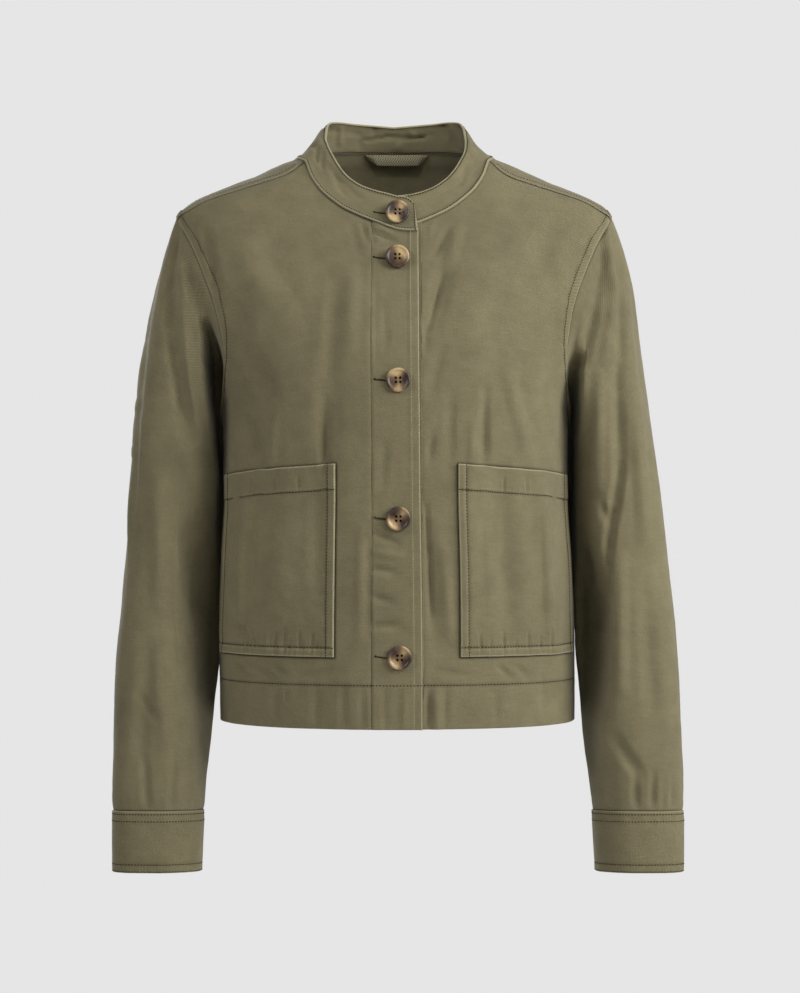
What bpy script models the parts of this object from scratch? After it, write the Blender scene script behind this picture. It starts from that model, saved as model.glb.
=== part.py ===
"""Band-collar cotton twill jacket, filled out as worn, with no wearer in it.

Metres, +Z up. The front faces -Y and the wearer's right is at -X. The origin is the middle of the neck base,
level with the points where the shoulders meet the neck.

The body is one form: level slices, each a rounded box whose half width, front depth and back depth come from
TORSO. The cloth pieces are grids of points on that form, thickened inwards, with a small gap at each seam.
Grids are worked out for the wearer's left (+X) and mirrored for the right.
"""

from collections import namedtuple
import math

import bmesh
import bpy
from mathutils import Vector
import numpy as np

# ------------------------------------------------------------------ driving sizes
SEAM_GAP = 0.0003
CLOTH = 0.0014                  # wall of a single layer with its turned-in edges
BAND = 0.0022                   # wall of a folded band: placket, collar, cuff

HEM_Z = -0.533
HEM_FOLD = 0.040                # height of the turned-up hem
UNDERARM_Z = -0.240

PLACKET_EDGE_TOP = 0.0200       # from the centre line to the free edge of a band, at the neck
PLACKET_EDGE_HEM = 0.0222       # the same at the hem
PLACKET_SEAM = 0.0228           # from the centre line to the seam of a band
LAP_LIFT = BAND + SEAM_GAP      # how far the right front's band lies above the left's
LAP_BLEND = 0.060               # width over which the right front rises to its band

NECK_SEAM_ANGLE = 47.0          # where the shoulder seam meets the neckline
ARMHOLE_ANGLE = 33.5            # half breadth of the armhole round the form, in degrees
ARMHOLE_MID_Z = -0.148
ARMHOLE_HALF_HEIGHT = 0.092
SHOULDER_POINT = 18.0           # armhole angle, from its top, where the shoulder seam ends

POCKET_TOP_Z = -0.293
POCKET_BOTTOM_Z = -0.4675
POCKET_SLANT = 0.0095           # how far the pocket's top falls towards the side
POCKET_INNER_ANGLE = 19.3
POCKET_OUTER_ANGLE = 72.2

BUTTON_HEIGHTS = (-0.0590, -0.1033, -0.2169, -0.3409, -0.4652)
BUTTON_HOLE_RADIUS = 0.00105
BUTTON_HOLE_PITCH = 0.0036
BUTTON_CUTTER_LENGTH = 0.020
BUTTON_STAND_OFF = 0.0006       # from the band to the button's underside

COLLAR_CORNER = 0.012           # radius of the collar's front corners
CUFF_PROUD = 0.0006             # how far a cuff stands out from its sleeve
CAP_LEAN_UNDER = 0.12           # how far the sleeve leans outwards as it leaves the armhole, per unit down
CAP_LEAN_TOP = 0.40

LOOP_HALF_LENGTH = 0.0297       # the hanger loop, from its middle
LOOP_HALF_HEIGHT = 0.0046
LOOP_THICKNESS = 0.0010
LOOP_BOW = 0.0085               # how far its middle stands off the back's cloth
LOOP_MIDDLE_Z = 0.0022
LOOP_END_Z = 0.0040
LOOP_CLEARANCE = 0.0006         # between its ends and the back's cloth

# ------------------------------------------------------------------ counts of cells
FRONT_COLUMNS = (2, 6, 3)       # band seam to pocket, across the pocket, pocket to side seam
NECK_COLUMNS = 5                # front neckline
BACK_NECK_COLUMNS = 6           # half of the back neckline
SHOULDER_COLUMNS = 6
POCKET_ROWS = 6
WAIST_ROWS = 2                  # between the pocket and the underarm
ARMHOLE_ROWS = 14
CAP_RINGS = 6
COLLAR_ROWS = 3
BUTTON_SIDES = 24
BUTTON_HOLE_SIDES = 8
LOOP_COLUMNS = 12
EVENING_STEPS = 60              # rounds of evening out a panel's grid
CORNER_TURNS = (0, 30, 60, 90)  # columns round a corner of the collar, in degrees

# ------------------------------------------------------------------ tables
Slice = namedtuple("Slice", "height half_width front back")
TORSO = (
    Slice(-0.5400, 0.1668, 0.1180, 0.1080),
    Slice(-0.4800, 0.1666, 0.1200, 0.1030),
    Slice(-0.4000, 0.1660, 0.1225, 0.0980),
    Slice(-0.3200, 0.1652, 0.1245, 0.0985),
    Slice(-0.2400, 0.1660, 0.1245, 0.1030),
    Slice(-0.1900, 0.1765, 0.1185, 0.1055),
    Slice(-0.1500, 0.1900, 0.1075, 0.1050),
    Slice(-0.1100, 0.2005, 0.0915, 0.1010),
    Slice(-0.0800, 0.2040, 0.0740, 0.0960),
    Slice(-0.0580, 0.2060, 0.0630, 0.0905),
    Slice(-0.0465, 0.1985, 0.0580, 0.0870),
    Slice(-0.0295, 0.1640, 0.0505, 0.0810),
    Slice(-0.0180, 0.1350, 0.0450, 0.0760),
    Slice(-0.0066, 0.1095, 0.0400, 0.0700),
    Slice(0.0000, 0.0875, 0.0360, 0.0665),
    Slice(0.0060, 0.0780, 0.0320, 0.0630),
    Slice(0.0110, 0.0700, 0.0290, 0.0600),
    Slice(0.0300, 0.0450, 0.0200, 0.0500),
)
TORSO_POWER = 2.3

# The neckline, from the centre front (0 degrees) round the side (90) to the centre back (180).
NeckPoint = namedtuple("NeckPoint", "angle height")
NECKLINE = (
    NeckPoint(0.0, -0.0750), NeckPoint(2.5, -0.0737), NeckPoint(5.2, -0.0705), NeckPoint(12.2, -0.0590),
    NeckPoint(19.8, -0.0420), NeckPoint(31.6, -0.0230), NeckPoint(48.8, -0.0070), NeckPoint(90.0, 0.0000),
    NeckPoint(120.0, 0.0060), NeckPoint(150.0, 0.0105), NeckPoint(180.0, 0.0110),
)

# The collar's top edge, by the angle of the neckline point that it stands on.
CollarPoint = namedtuple("CollarPoint", "angle x y z")
COLLAR_TOP = (
    CollarPoint(0.0, 0.0000, -0.0560, -0.0430),
    CollarPoint(5.2, 0.0140, -0.0555, -0.0410),
    CollarPoint(12.2, 0.0320, -0.0530, -0.0350),
    CollarPoint(19.8, 0.0480, -0.0460, -0.0230),
    CollarPoint(31.6, 0.0580, -0.0350, -0.0080),
    CollarPoint(48.8, 0.0645, -0.0200, 0.0060),
    CollarPoint(90.0, 0.0675, -0.0010, 0.0210),
    CollarPoint(105.0, 0.0665, 0.0120, 0.0310),
    CollarPoint(120.0, 0.0620, 0.0240, 0.0370),
    CollarPoint(150.0, 0.0350, 0.0410, 0.0370),
    CollarPoint(180.0, 0.0000, 0.0455, 0.0355),
)

# The forward shoulder seam between its two ends, by the share of its length.
SeamPoint = namedtuple("SeamPoint", "share angle height")
SHOULDER_SEAM = (
    SeamPoint(0.08, 45.5, -0.0165), SeamPoint(0.20, 50.0, -0.0255), SeamPoint(0.42, 56.0, -0.0340),
    SeamPoint(0.62, 62.5, -0.0420), SeamPoint(0.80, 68.5, -0.0515),
)

# The sleeve below its cap: its body side, outer side, front and back, and how far its front is raised.
Ring = namedtuple("Ring", "height inner outer front back tilt")
SLEEVE = (
    Ring(-0.2900, 0.1710, 0.2480, -0.0660, 0.0700, 0.00),
    Ring(-0.3260, 0.1705, 0.2508, -0.0665, 0.0650, 0.00),
    Ring(-0.3830, 0.1700, 0.2560, -0.0670, 0.0590, 0.01),
    Ring(-0.4210, 0.1697, 0.2596, -0.0690, 0.0530, 0.02),
    Ring(-0.4590, 0.1697, 0.2626, -0.0710, 0.0470, 0.03),
    Ring(-0.5150, 0.1725, 0.2657, -0.0740, 0.0360, 0.05),
    Ring(-0.5530, 0.1755, 0.2668, -0.0755, 0.0275, 0.06),
    Ring(-0.5900, 0.1795, 0.2675, -0.0760, 0.0180, 0.07),
    Ring(-0.6155, 0.1818, 0.2660, -0.0745, 0.0090, 0.08),
)
CUFF = (
    Ring(-0.6155, 0.1818, 0.2660, -0.0745, 0.0090, 0.08),
    Ring(-0.6440, 0.1828, 0.2662, -0.0755, 0.0060, 0.08),
    Ring(-0.6720, 0.1840, 0.2660, -0.0760, 0.0030, 0.08),
)
SLEEVE_POWER = 2.4

# The largest folds, as seen from the front or the back: two ends, half the width, and the height, which is
# negative in a trough. The side is that of the wearer.
Fold = namedtuple("Fold", "side x0 z0 x1 z1 half_width height")
FRONT_FOLDS = (
    Fold("right", 0.166, -0.078, 0.158, -0.112, 0.010, -0.0030),
    Fold("right", 0.060, -0.200, 0.066, -0.285, 0.018, -0.0025),
    Fold("right", 0.125, -0.210, 0.118, -0.285, 0.020, -0.0025),
    Fold("left", 0.150, -0.070, 0.128, -0.118, 0.018, -0.0030),
    Fold("left", 0.046, -0.110, 0.032, -0.170, 0.014, -0.0030),
    Fold("left", 0.095, -0.190, 0.088, -0.280, 0.020, -0.0025),
)
BACK_FOLDS = (
    Fold("right", 0.140, -0.085, 0.150, -0.190, 0.016, -0.0035),
    Fold("right", 0.060, -0.260, 0.052, -0.470, 0.026, -0.0030),
    Fold("left", 0.145, -0.080, 0.152, -0.180, 0.016, -0.0035),
    Fold("left", 0.075, -0.230, 0.082, -0.450, 0.026, -0.0030),
)
SLEEVE_FRONT_FOLDS = (
    Fold("right", 0.204, -0.090, 0.209, -0.250, 0.012, -0.0050),
    Fold("right", 0.193, -0.110, 0.199, -0.300, 0.011, 0.0035),
    Fold("right", 0.183, -0.125, 0.181, -0.270, 0.012, -0.0050),
    Fold("left", 0.208, -0.090, 0.206, -0.230, 0.013, 0.0040),
    Fold("left", 0.198, -0.110, 0.184, -0.175, 0.013, -0.0055),
    Fold("left", 0.196, -0.325, 0.188, -0.460, 0.013, -0.0055),
    Fold("left", 0.225, -0.150, 0.236, -0.360, 0.015, 0.0030),
)
SLEEVE_BACK_FOLDS = (
    Fold("right", 0.205, -0.110, 0.196, -0.250, 0.014, -0.0050),
    Fold("right", 0.240, -0.350, 0.205, -0.420, 0.016, -0.0040),
    Fold("left", 0.207, -0.105, 0.198, -0.240, 0.014, -0.0050),
    Fold("left", 0.238, -0.370, 0.208, -0.440, 0.016, -0.0040),
)

# A button's outline from its underside over the rim and into the dish.
ButtonPoint = namedtuple("ButtonPoint", "radius height")
BUTTON_PROFILE = (
    ButtonPoint(0.0083, 0.0000),
    ButtonPoint(0.0103, 0.0009),
    ButtonPoint(0.0110, 0.0020),
    ButtonPoint(0.0107, 0.0032),
    ButtonPoint(0.0098, 0.0038),
    ButtonPoint(0.0086, 0.0034),
    ButtonPoint(0.0074, 0.0026),
)

TWILL = (0.155, 0.136, 0.082)
HORN = (0.085, 0.045, 0.024)


# ------------------------------------------------------------------ curves and tables
def through_rows(knots, values):
    """Return a smooth function through a table's rows that never overshoots them."""
    knots = np.asarray(knots, float)
    values = np.asarray(values, float)
    steps = np.diff(knots)
    slopes = np.diff(values) / steps
    tangents = np.concatenate([slopes[:1], np.zeros(len(slopes) - 1), slopes[-1:]])
    for row in range(1, len(slopes)):
        before, after = slopes[row - 1], slopes[row]
        if before * after > 0:
            weight_before = steps[row - 1] + 2 * steps[row]
            weight_after = 2 * steps[row - 1] + steps[row]
            total = weight_before + weight_after
            tangents[row] = total / (weight_before / before + weight_after / after)

    def value(at):
        at = np.clip(at, knots[0], knots[-1])
        row = np.clip(np.searchsorted(knots, at, side="right") - 1, 0, len(steps) - 1)
        t = (at - knots[row]) / steps[row]
        start = (1 + 2 * t) * (1 - t) ** 2 * values[row] + t * (1 - t) ** 2 * steps[row] * tangents[row]
        end = t * t * (3 - 2 * t) * values[row + 1] + t * t * (t - 1) * steps[row] * tangents[row + 1]
        return start + end

    return value


def column(rows, name):
    return [getattr(row, name) for row in rows]


def unit(vectors):
    return vectors / np.maximum(np.linalg.norm(vectors, axis=-1, keepdims=True), 1e-12)


def smooth_step(t):
    t = np.clip(t, 0.0, 1.0)
    return t * t * (3 - 2 * t)


def resample(curve, cells):
    """Even points along a finely drawn curve."""
    lengths = np.concatenate([[0.0], np.cumsum(np.linalg.norm(np.diff(curve, axis=0), axis=1))])
    wanted = np.linspace(0.0, lengths[-1], cells + 1)
    return np.stack([np.interp(wanted, lengths, curve[:, axis]) for axis in range(3)], axis=-1)


def joined(*curves):
    """Curves end to end, each next one without its first point."""
    return np.concatenate([curves[0]] + [curve[1:] for curve in curves[1:]])


def mirrored(points, side):
    return points * np.array([side, 1.0, 1.0])


# ------------------------------------------------------------------ the body's form
torso_width = through_rows(column(TORSO, "height"), column(TORSO, "half_width"))
torso_front = through_rows(column(TORSO, "height"), column(TORSO, "front"))
torso_back = through_rows(column(TORSO, "height"), column(TORSO, "back"))
neck_height = through_rows(column(NECKLINE, "angle"), column(NECKLINE, "height"))


def rounded_box_radius(angle, power):
    return (np.abs(np.sin(angle)) ** power + np.abs(np.cos(angle)) ** power) ** (-1.0 / power)


def torso_point(degrees, height):
    """The form's point at an angle round it (0 front, 90 side, 180 back) and a height."""
    degrees, height = np.broadcast_arrays(np.asarray(degrees, float), np.asarray(height, float))
    angle = np.radians(degrees)
    radius = rounded_box_radius(angle, TORSO_POWER)
    depth = np.where(np.cos(angle) > 0, torso_front(height), torso_back(height))
    x = torso_width(height) * radius * np.sin(angle)
    return np.stack([x, -depth * radius * np.cos(angle), height], axis=-1)


def front_point(x, height):
    """The form's front at a distance from the centre line and a height."""
    x, height = np.broadcast_arrays(np.asarray(x, float), np.asarray(height, float))
    share = np.abs(x / torso_width(height)) ** TORSO_POWER
    return np.stack([x, -torso_front(height) * (1 - share) ** (1 / TORSO_POWER), height], axis=-1)


def front_angle(x, height):
    share = np.abs(x / torso_width(height)) ** TORSO_POWER
    return np.degrees(np.arctan((share / (1 - share)) ** (1 / TORSO_POWER)))


def form_value(points):
    """Zero on the form, negative inside it."""
    x, y, z = points[..., 0], points[..., 1], points[..., 2]
    depth = np.where(y < 0, torso_front(z), torso_back(z))
    return np.abs(x / torso_width(z)) ** TORSO_POWER + np.abs(y / depth) ** TORSO_POWER - 1


def form_gradient(points):
    step = 1e-5
    slopes = []
    for axis in np.eye(3):
        slopes.append((form_value(points + step * axis) - form_value(points - step * axis)) / (2 * step))
    return np.stack(slopes, axis=-1)


def on_form(points):
    """Move points onto the form along its own slope."""
    for _ in range(4):
        gradient = form_gradient(points)
        size = np.maximum((gradient ** 2).sum(-1, keepdims=True), 1e-9)
        points = points - form_value(points)[..., None] * gradient / size
    return points


def form_normal(points):
    return unit(form_gradient(points))


def neckline(start, end, samples=200):
    angles = np.linspace(start, end, samples)
    return torso_point(angles, neck_height(angles))


def armhole_point(degrees):
    """The armhole seam by its own angle: 0 at the top, 90 at the front, 180 under the arm."""
    turn = np.radians(degrees)
    return torso_point(90 - ARMHOLE_ANGLE * np.sin(turn), ARMHOLE_MID_Z + ARMHOLE_HALF_HEIGHT * np.cos(turn))


def shoulder_seam():
    """From the neckline to the shoulder point."""
    turn = math.radians(SHOULDER_POINT)
    tip_angle = 90 - ARMHOLE_ANGLE * math.sin(turn)
    tip_height = ARMHOLE_MID_Z + ARMHOLE_HALF_HEIGHT * math.cos(turn)
    neck_end = SeamPoint(0.0, NECK_SEAM_ANGLE, float(neck_height(NECK_SEAM_ANGLE)))
    rows = (neck_end,) + SHOULDER_SEAM + (SeamPoint(1.0, tip_angle, tip_height),)
    share = np.linspace(0.0, 1.0, 200)
    angle = through_rows(column(rows, "share"), column(rows, "angle"))(share)
    height = through_rows(column(rows, "share"), column(rows, "height"))(share)
    return torso_point(angle, height)


def lap_lift(x):
    """How far the right front rises towards its band, by the distance from the centre line."""
    return LAP_LIFT * smooth_step(1 - (np.abs(x) - PLACKET_SEAM) / LAP_BLEND)


# ------------------------------------------------------------------ folds
def fold_heights(points, folds, side):
    """Sum of the folds at some points, as seen along Y. A fold fades to nothing at its half width."""
    total = np.zeros(points.shape[:-1])
    flat = np.abs(points[..., 0]), points[..., 2]
    for fold in folds:
        if (fold.side == "left") != (side > 0):
            continue
        run_x, run_z = fold.x1 - fold.x0, fold.z1 - fold.z0
        length_squared = run_x ** 2 + run_z ** 2
        along = ((flat[0] - fold.x0) * run_x + (flat[1] - fold.z0) * run_z) / length_squared
        along = np.clip(along, 0.0, 1.0)
        away = np.hypot(flat[0] - fold.x0 - along * run_x, flat[1] - fold.z0 - along * run_z)
        across = np.cos(np.clip(away / fold.half_width, 0.0, 1.0) * math.pi / 2) ** 2
        total += fold.height * across * (0.4 + 0.6 * (1 - (2 * along - 1) ** 2))
    return total


def folded_torso(points, side):
    front = fold_heights(points, FRONT_FOLDS, side)
    back = fold_heights(points, BACK_FOLDS, side)
    heights = np.where(points[..., 1] < 0, front, back)
    return points + heights[..., None] * form_normal(points)


# ------------------------------------------------------------------ grids of points
def blend_edges(bottom, top, left, right):
    """Fill a grid (columns, rows) from its four edges."""
    u = np.linspace(0, 1, len(bottom))[:, None, None]
    v = np.linspace(0, 1, len(left))[None, :, None]
    by_rows = (1 - v) * bottom[:, None] + v * top[:, None]
    by_columns = (1 - u) * left[None] + u * right[None]
    corners = (1 - u) * ((1 - v) * bottom[0] + v * top[0]) + u * ((1 - v) * bottom[-1] + v * top[-1])
    return by_rows + by_columns - corners


def evened(grid):
    """Even out a grid's cells on the form, with its edges held."""
    for _ in range(EVENING_STEPS):
        around = grid[:-2, 1:-1] + grid[2:, 1:-1] + grid[1:-1, :-2] + grid[1:-1, 2:]
        grid[1:-1, 1:-1] = on_form(around / 4)
    return grid


def lower_heights():
    """Heights of the rows from the hem to the underarm, at the front edge."""
    fold_line = HEM_Z + HEM_FOLD
    hem = [HEM_Z, HEM_Z + HEM_FOLD / 2, fold_line - 0.0005, fold_line + 0.0025]
    pocket = np.linspace(POCKET_BOTTOM_Z, POCKET_TOP_Z, POCKET_ROWS + 1)
    waist = np.linspace(POCKET_TOP_Z, UNDERARM_Z, WAIST_ROWS + 1)[1:]
    return np.concatenate([hem, pocket, waist])


def slanted(heights, angles):
    """Rows lowered towards the side, most at the pocket's top. The result is (columns, rows)."""
    weight = np.interp(heights, [POCKET_BOTTOM_Z, POCKET_TOP_Z, UNDERARM_Z], [0.0, 1.0, 0.0])
    towards_side = (angles - POCKET_INNER_ANGLE) / (POCKET_OUTER_ANGLE - POCKET_INNER_ANGLE)
    return heights[None, :] - POCKET_SLANT * np.clip(towards_side, 0, 1.1)[:, None] * weight[None, :]


def front_grid():
    """The left front, from the band seam to the side seam and from the hem to the neckline and shoulder."""
    first = float(front_angle(PLACKET_SEAM, UNDERARM_Z))
    stops = (first, POCKET_INNER_ANGLE, POCKET_OUTER_ANGLE, 90.0)
    runs = [np.linspace(a, b, cells + 1)[1:] for a, b, cells in zip(stops, stops[1:], FRONT_COLUMNS)]
    angles = np.concatenate([[first]] + runs)
    heights = slanted(lower_heights(), angles)
    lower = torso_point(angles[:, None], heights)
    lower[0] = front_point(PLACKET_SEAM, heights[0])

    neck_curve = neckline(0, NECK_SEAM_ANGLE)
    beyond_band = neck_curve[:, 0] > PLACKET_SEAM
    first_point = front_point(PLACKET_SEAM, np.interp(PLACKET_SEAM, neck_curve[:, 0], neck_curve[:, 2]))
    neck_curve = np.concatenate([first_point[None], neck_curve[beyond_band]])
    top = joined(resample(neck_curve, NECK_COLUMNS), resample(shoulder_seam(), SHOULDER_COLUMNS))
    left = resample(front_point(PLACKET_SEAM, np.linspace(UNDERARM_Z, first_point[2], 100)), ARMHOLE_ROWS)
    right = resample(armhole_point(np.linspace(180, SHOULDER_POINT, 200)), ARMHOLE_ROWS)
    upper = evened(blend_edges(lower[:, -1], top, left, right))
    return np.concatenate([lower, upper[:, 1:]], axis=1)


def back_half_grid():
    """The left half of the back, from the centre line to the side seam, armhole and shoulder seam."""
    columns = BACK_NECK_COLUMNS + SHOULDER_COLUMNS
    angles = np.linspace(180, 90, columns + 1)
    side_heights = slanted(lower_heights(), np.array([90.0]))[0]
    share = np.linspace(0, 1, columns + 1)[:, None]
    heights = (1 - share) * lower_heights() + share * side_heights
    lower = torso_point(angles[:, None], heights)

    neck = resample(neckline(180, NECK_SEAM_ANGLE), BACK_NECK_COLUMNS)
    top = joined(neck, resample(shoulder_seam(), SHOULDER_COLUMNS))
    centre_heights = np.linspace(UNDERARM_Z, neck[0, 2], 100)
    left = resample(torso_point(180.0, centre_heights), ARMHOLE_ROWS)
    right = resample(armhole_point(np.linspace(180, 360 + SHOULDER_POINT, 200)), ARMHOLE_ROWS)
    upper = evened(blend_edges(lower[:, -1], top, left, right))
    return np.concatenate([lower, upper[:, 1:]], axis=1)


def grid_normals(grid, closed):
    """Unit normals of a grid (columns, rows), pointing away from the columns' middle line."""
    if closed:
        around = np.roll(grid, -1, axis=0) - np.roll(grid, 1, axis=0)
    else:
        around = np.gradient(grid, axis=0)
    normals = unit(np.cross(around, np.gradient(grid, axis=1)))
    outwards = grid - grid.mean(axis=0, keepdims=True)
    return normals * np.sign((normals * outwards).sum())


def ring_points(ring, degrees):
    """One ring of a sleeve or cuff: 0 at the outer side, 90 at the front, 180 at the body side."""
    turn = np.radians(degrees)
    radius = rounded_box_radius(turn, SLEEVE_POWER)
    x = (ring.outer + ring.inner) / 2 + (ring.outer - ring.inner) / 2 * radius * np.cos(turn)
    middle = (ring.front + ring.back) / 2
    y = middle - (ring.back - ring.front) / 2 * radius * np.sin(turn)
    return np.stack([x, y, ring.height - ring.tilt * (y - middle)], axis=-1)


def armhole_ring():
    """Points round the armhole that the front, the back and the sleeve share, with their angles."""
    fine = np.linspace(SHOULDER_POINT, 360 + SHOULDER_POINT, 721)
    curve = armhole_point(fine)
    under = np.argmin(np.abs(fine - 180))
    angles = []
    for part in (slice(0, under + 1), slice(under, None)):
        run = curve[part]
        lengths = np.concatenate([[0.0], np.cumsum(np.linalg.norm(np.diff(run, axis=0), axis=1))])
        angles.append(np.interp(np.linspace(0, lengths[-1], ARMHOLE_ROWS + 1)[:-1], lengths, fine[part]))
    return np.concatenate(angles)


def sleeve_grid(side):
    """The left sleeve, (round, down), from the armhole to the cuff, with the named side's folds."""
    angles = armhole_ring()
    start = armhole_point(angles)
    rings = np.stack([ring_points(ring, angles) for ring in SLEEVE], axis=1)
    chord = np.linalg.norm(rings[:, 0] - start, axis=-1, keepdims=True)
    highness = np.sqrt(np.clip((1 + np.cos(np.radians(angles))) / 2, 0, 1))
    lean = CAP_LEAN_UNDER + (CAP_LEAN_TOP - CAP_LEAN_UNDER) * highness
    leave = unit(np.stack([lean, np.zeros_like(lean), -np.ones_like(lean)], axis=-1)) * chord
    arrive = unit(rings[:, 1] - rings[:, 0]) * chord
    share = np.linspace(0, 1, CAP_RINGS + 1)[:-1]
    cap = []
    for t in share:
        cap.append((1 + 2 * t) * (1 - t) ** 2 * start + t * (1 - t) ** 2 * leave
                   + t * t * (3 - 2 * t) * rings[:, 0] + t * t * (t - 1) * arrive)
    grid = np.concatenate([np.stack(cap, axis=1), rings], axis=1)

    normals = grid_normals(grid, closed=True)
    middle = grid[..., 1].mean(axis=0, keepdims=True)
    front = fold_heights(grid, SLEEVE_FRONT_FOLDS, side)
    back = fold_heights(grid, SLEEVE_BACK_FOLDS, side)
    heights = np.where(grid[..., 1] < middle, front, back)
    heights[:, 0] = 0.0
    return grid + heights[..., None] * normals


def armhole_mitre(sleeve):
    """The armhole's shared thickness direction and its sideways direction, towards the sleeve."""
    seam = sleeve[:, 0]
    shared = unit(form_normal(seam) + grid_normals(sleeve, closed=True)[:, 0])
    along = np.roll(seam, -1, axis=0) - np.roll(seam, 1, axis=0)
    sideways = unit(np.cross(along, shared))
    if sideways[0] @ (sleeve[0, 1] - sleeve[0, 0]) < 0:
        sideways = -sideways
    return shared, sideways


# ------------------------------------------------------------------ objects
def make_material(name, colour, roughness):
    material = bpy.data.materials.new(name)
    material.use_nodes = True
    shader = material.node_tree.nodes["Principled BSDF"]
    shader.inputs["Base Color"].default_value = (*colour, 1.0)
    shader.inputs["Roughness"].default_value = roughness
    shader.inputs["Metallic"].default_value = 0.0
    return material


def wall_object(name, outer, inner, material, closed=False):
    """A closed wall between an outer and an inner grid. A closed grid runs round a tube."""
    columns, rows = outer.shape[:2]
    layer = columns * rows

    def corner(column_index, row_index, inside=0):
        return inside * layer + (column_index % columns) * rows + row_index

    faces = []
    spans = columns if closed else columns - 1
    for i in range(spans):
        for j in range(rows - 1):
            for inside in (0, 1):
                a, b = corner(i, j, inside), corner(i + 1, j, inside)
                c, d = corner(i + 1, j + 1, inside), corner(i, j + 1, inside)
                faces += [(a, b, c), (a, c, d)]
        for j in (0, rows - 1):
            a, b = corner(i, j), corner(i + 1, j)
            c, d = corner(i + 1, j, 1), corner(i, j, 1)
            faces += [(a, b, c), (a, c, d)]
    if not closed:
        for i in (0, columns - 1):
            for j in range(rows - 1):
                a, b = corner(i, j), corner(i, j + 1)
                c, d = corner(i, j + 1, 1), corner(i, j, 1)
                faces += [(a, b, c), (a, c, d)]

    mesh = bpy.data.meshes.new(name)
    points = np.concatenate([outer.reshape(-1, 3), inner.reshape(-1, 3)])
    mesh.from_pydata(points.tolist(), [], faces)
    shape = bmesh.new()
    shape.from_mesh(mesh)
    bmesh.ops.recalc_face_normals(shape, faces=shape.faces)
    shape.to_mesh(mesh)
    shape.free()
    mesh.shade_smooth()
    mesh.set_sharp_from_angle(angle=math.radians(50))
    mesh.materials.append(material)
    thing = bpy.data.objects.new(name, mesh)
    bpy.context.scene.collection.objects.link(thing)
    return thing


def towards_inside(grid, edge):
    """Unit directions from an edge of a grid to its neighbours: 'first', 'last' column or 'top' row."""
    if edge == "first":
        return unit(grid[1] - grid[0])
    if edge == "last":
        return unit(grid[-2] - grid[-1])
    return unit(grid[:, -2] - grid[:, -1])


def panel_walls(grid, normals, gaps, thickness):
    """Outer and inner grids of a panel, drawn back from its seams by half a gap."""
    shift = np.zeros_like(grid)
    half = SEAM_GAP / 2
    if "first" in gaps:
        shift[0] += half * towards_inside(grid, "first")
    if "last" in gaps:
        shift[-1] += half * towards_inside(grid, "last")
    if "top" in gaps:
        shift[:, -1] += half * towards_inside(grid, "top")
    outer = grid + shift
    return outer, outer - thickness * normals


def hem_thickness(grid):
    """Twice the cloth where the hem is turned up."""
    doubled = grid[..., 2] < HEM_Z + HEM_FOLD + 0.001
    return np.where(doubled, 2 * CLOTH, CLOTH)[..., None]


def build_fronts(material, mitre):
    """Both fronts and their pockets. The mitre is the armhole's, in the order of the sleeve's ring."""
    shared, sideways = mitre
    armhole_row = len(lower_heights()) - 1
    ring = np.arange(ARMHOLE_ROWS, -1, -1)
    pocket_first = FRONT_COLUMNS[0]
    pocket_last = pocket_first + FRONT_COLUMNS[1]
    pocket_bottom = int(np.argmin(np.abs(lower_heights() - POCKET_BOTTOM_Z)))
    pocket_top = pocket_bottom + POCKET_ROWS
    for name, side in (("left", 1), ("right", -1)):
        grid = front_grid()
        normals = form_normal(grid)
        grid = folded_torso(grid, side)
        normals[-1, armhole_row:] = shared[ring]
        outer, inner = panel_walls(grid, normals, ("first", "top"), hem_thickness(grid))
        half = SEAM_GAP / 2
        outer[-1, :armhole_row] += half * towards_inside(grid, "last")[:armhole_row]
        inner[-1, :armhole_row] += half * towards_inside(grid, "last")[:armhole_row]
        outer[-1, armhole_row:] -= half * sideways[ring]
        inner[-1, armhole_row:] -= half * sideways[ring]
        if side < 0:
            lift = lap_lift(grid[..., 0])[..., None] * form_normal(grid)
            outer, inner = outer + lift, inner + lift
        wall_object("front_" + name, mirrored(outer, side), mirrored(inner, side), material)

        patch = np.s_[pocket_first:pocket_last + 1, pocket_bottom:pocket_top + 1]
        under = outer[patch] + SEAM_GAP * normals[patch]
        over = under + CLOTH * normals[patch]
        wall_object("pocket_" + name, mirrored(over, side), mirrored(under, side), material)


def build_back(material, mitre):
    shared, sideways = mitre
    armhole_row = len(lower_heights()) - 1
    count = len(shared)
    ring = np.arange(ARMHOLE_ROWS, 2 * ARMHOLE_ROWS + 1) % count
    half_grid = back_half_grid()
    normals = form_normal(half_grid)
    normals[-1, armhole_row:] = shared[ring]
    halves = []
    half = SEAM_GAP / 2
    for side in (1, -1):
        grid = folded_torso(half_grid, side)
        outer, inner = panel_walls(grid, normals, ("top",), hem_thickness(grid))
        outer[-1, :armhole_row] += half * towards_inside(grid, "last")[:armhole_row]
        inner[-1, :armhole_row] += half * towards_inside(grid, "last")[:armhole_row]
        outer[-1, armhole_row:] -= half * sideways[ring]
        inner[-1, armhole_row:] -= half * sideways[ring]
        halves.append((mirrored(outer, side), mirrored(inner, side)))
    outer = np.concatenate([halves[1][0][:0:-1], halves[0][0]])
    inner = np.concatenate([halves[1][1][:0:-1], halves[0][1]])
    wall_object("back", outer, inner, material)


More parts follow.
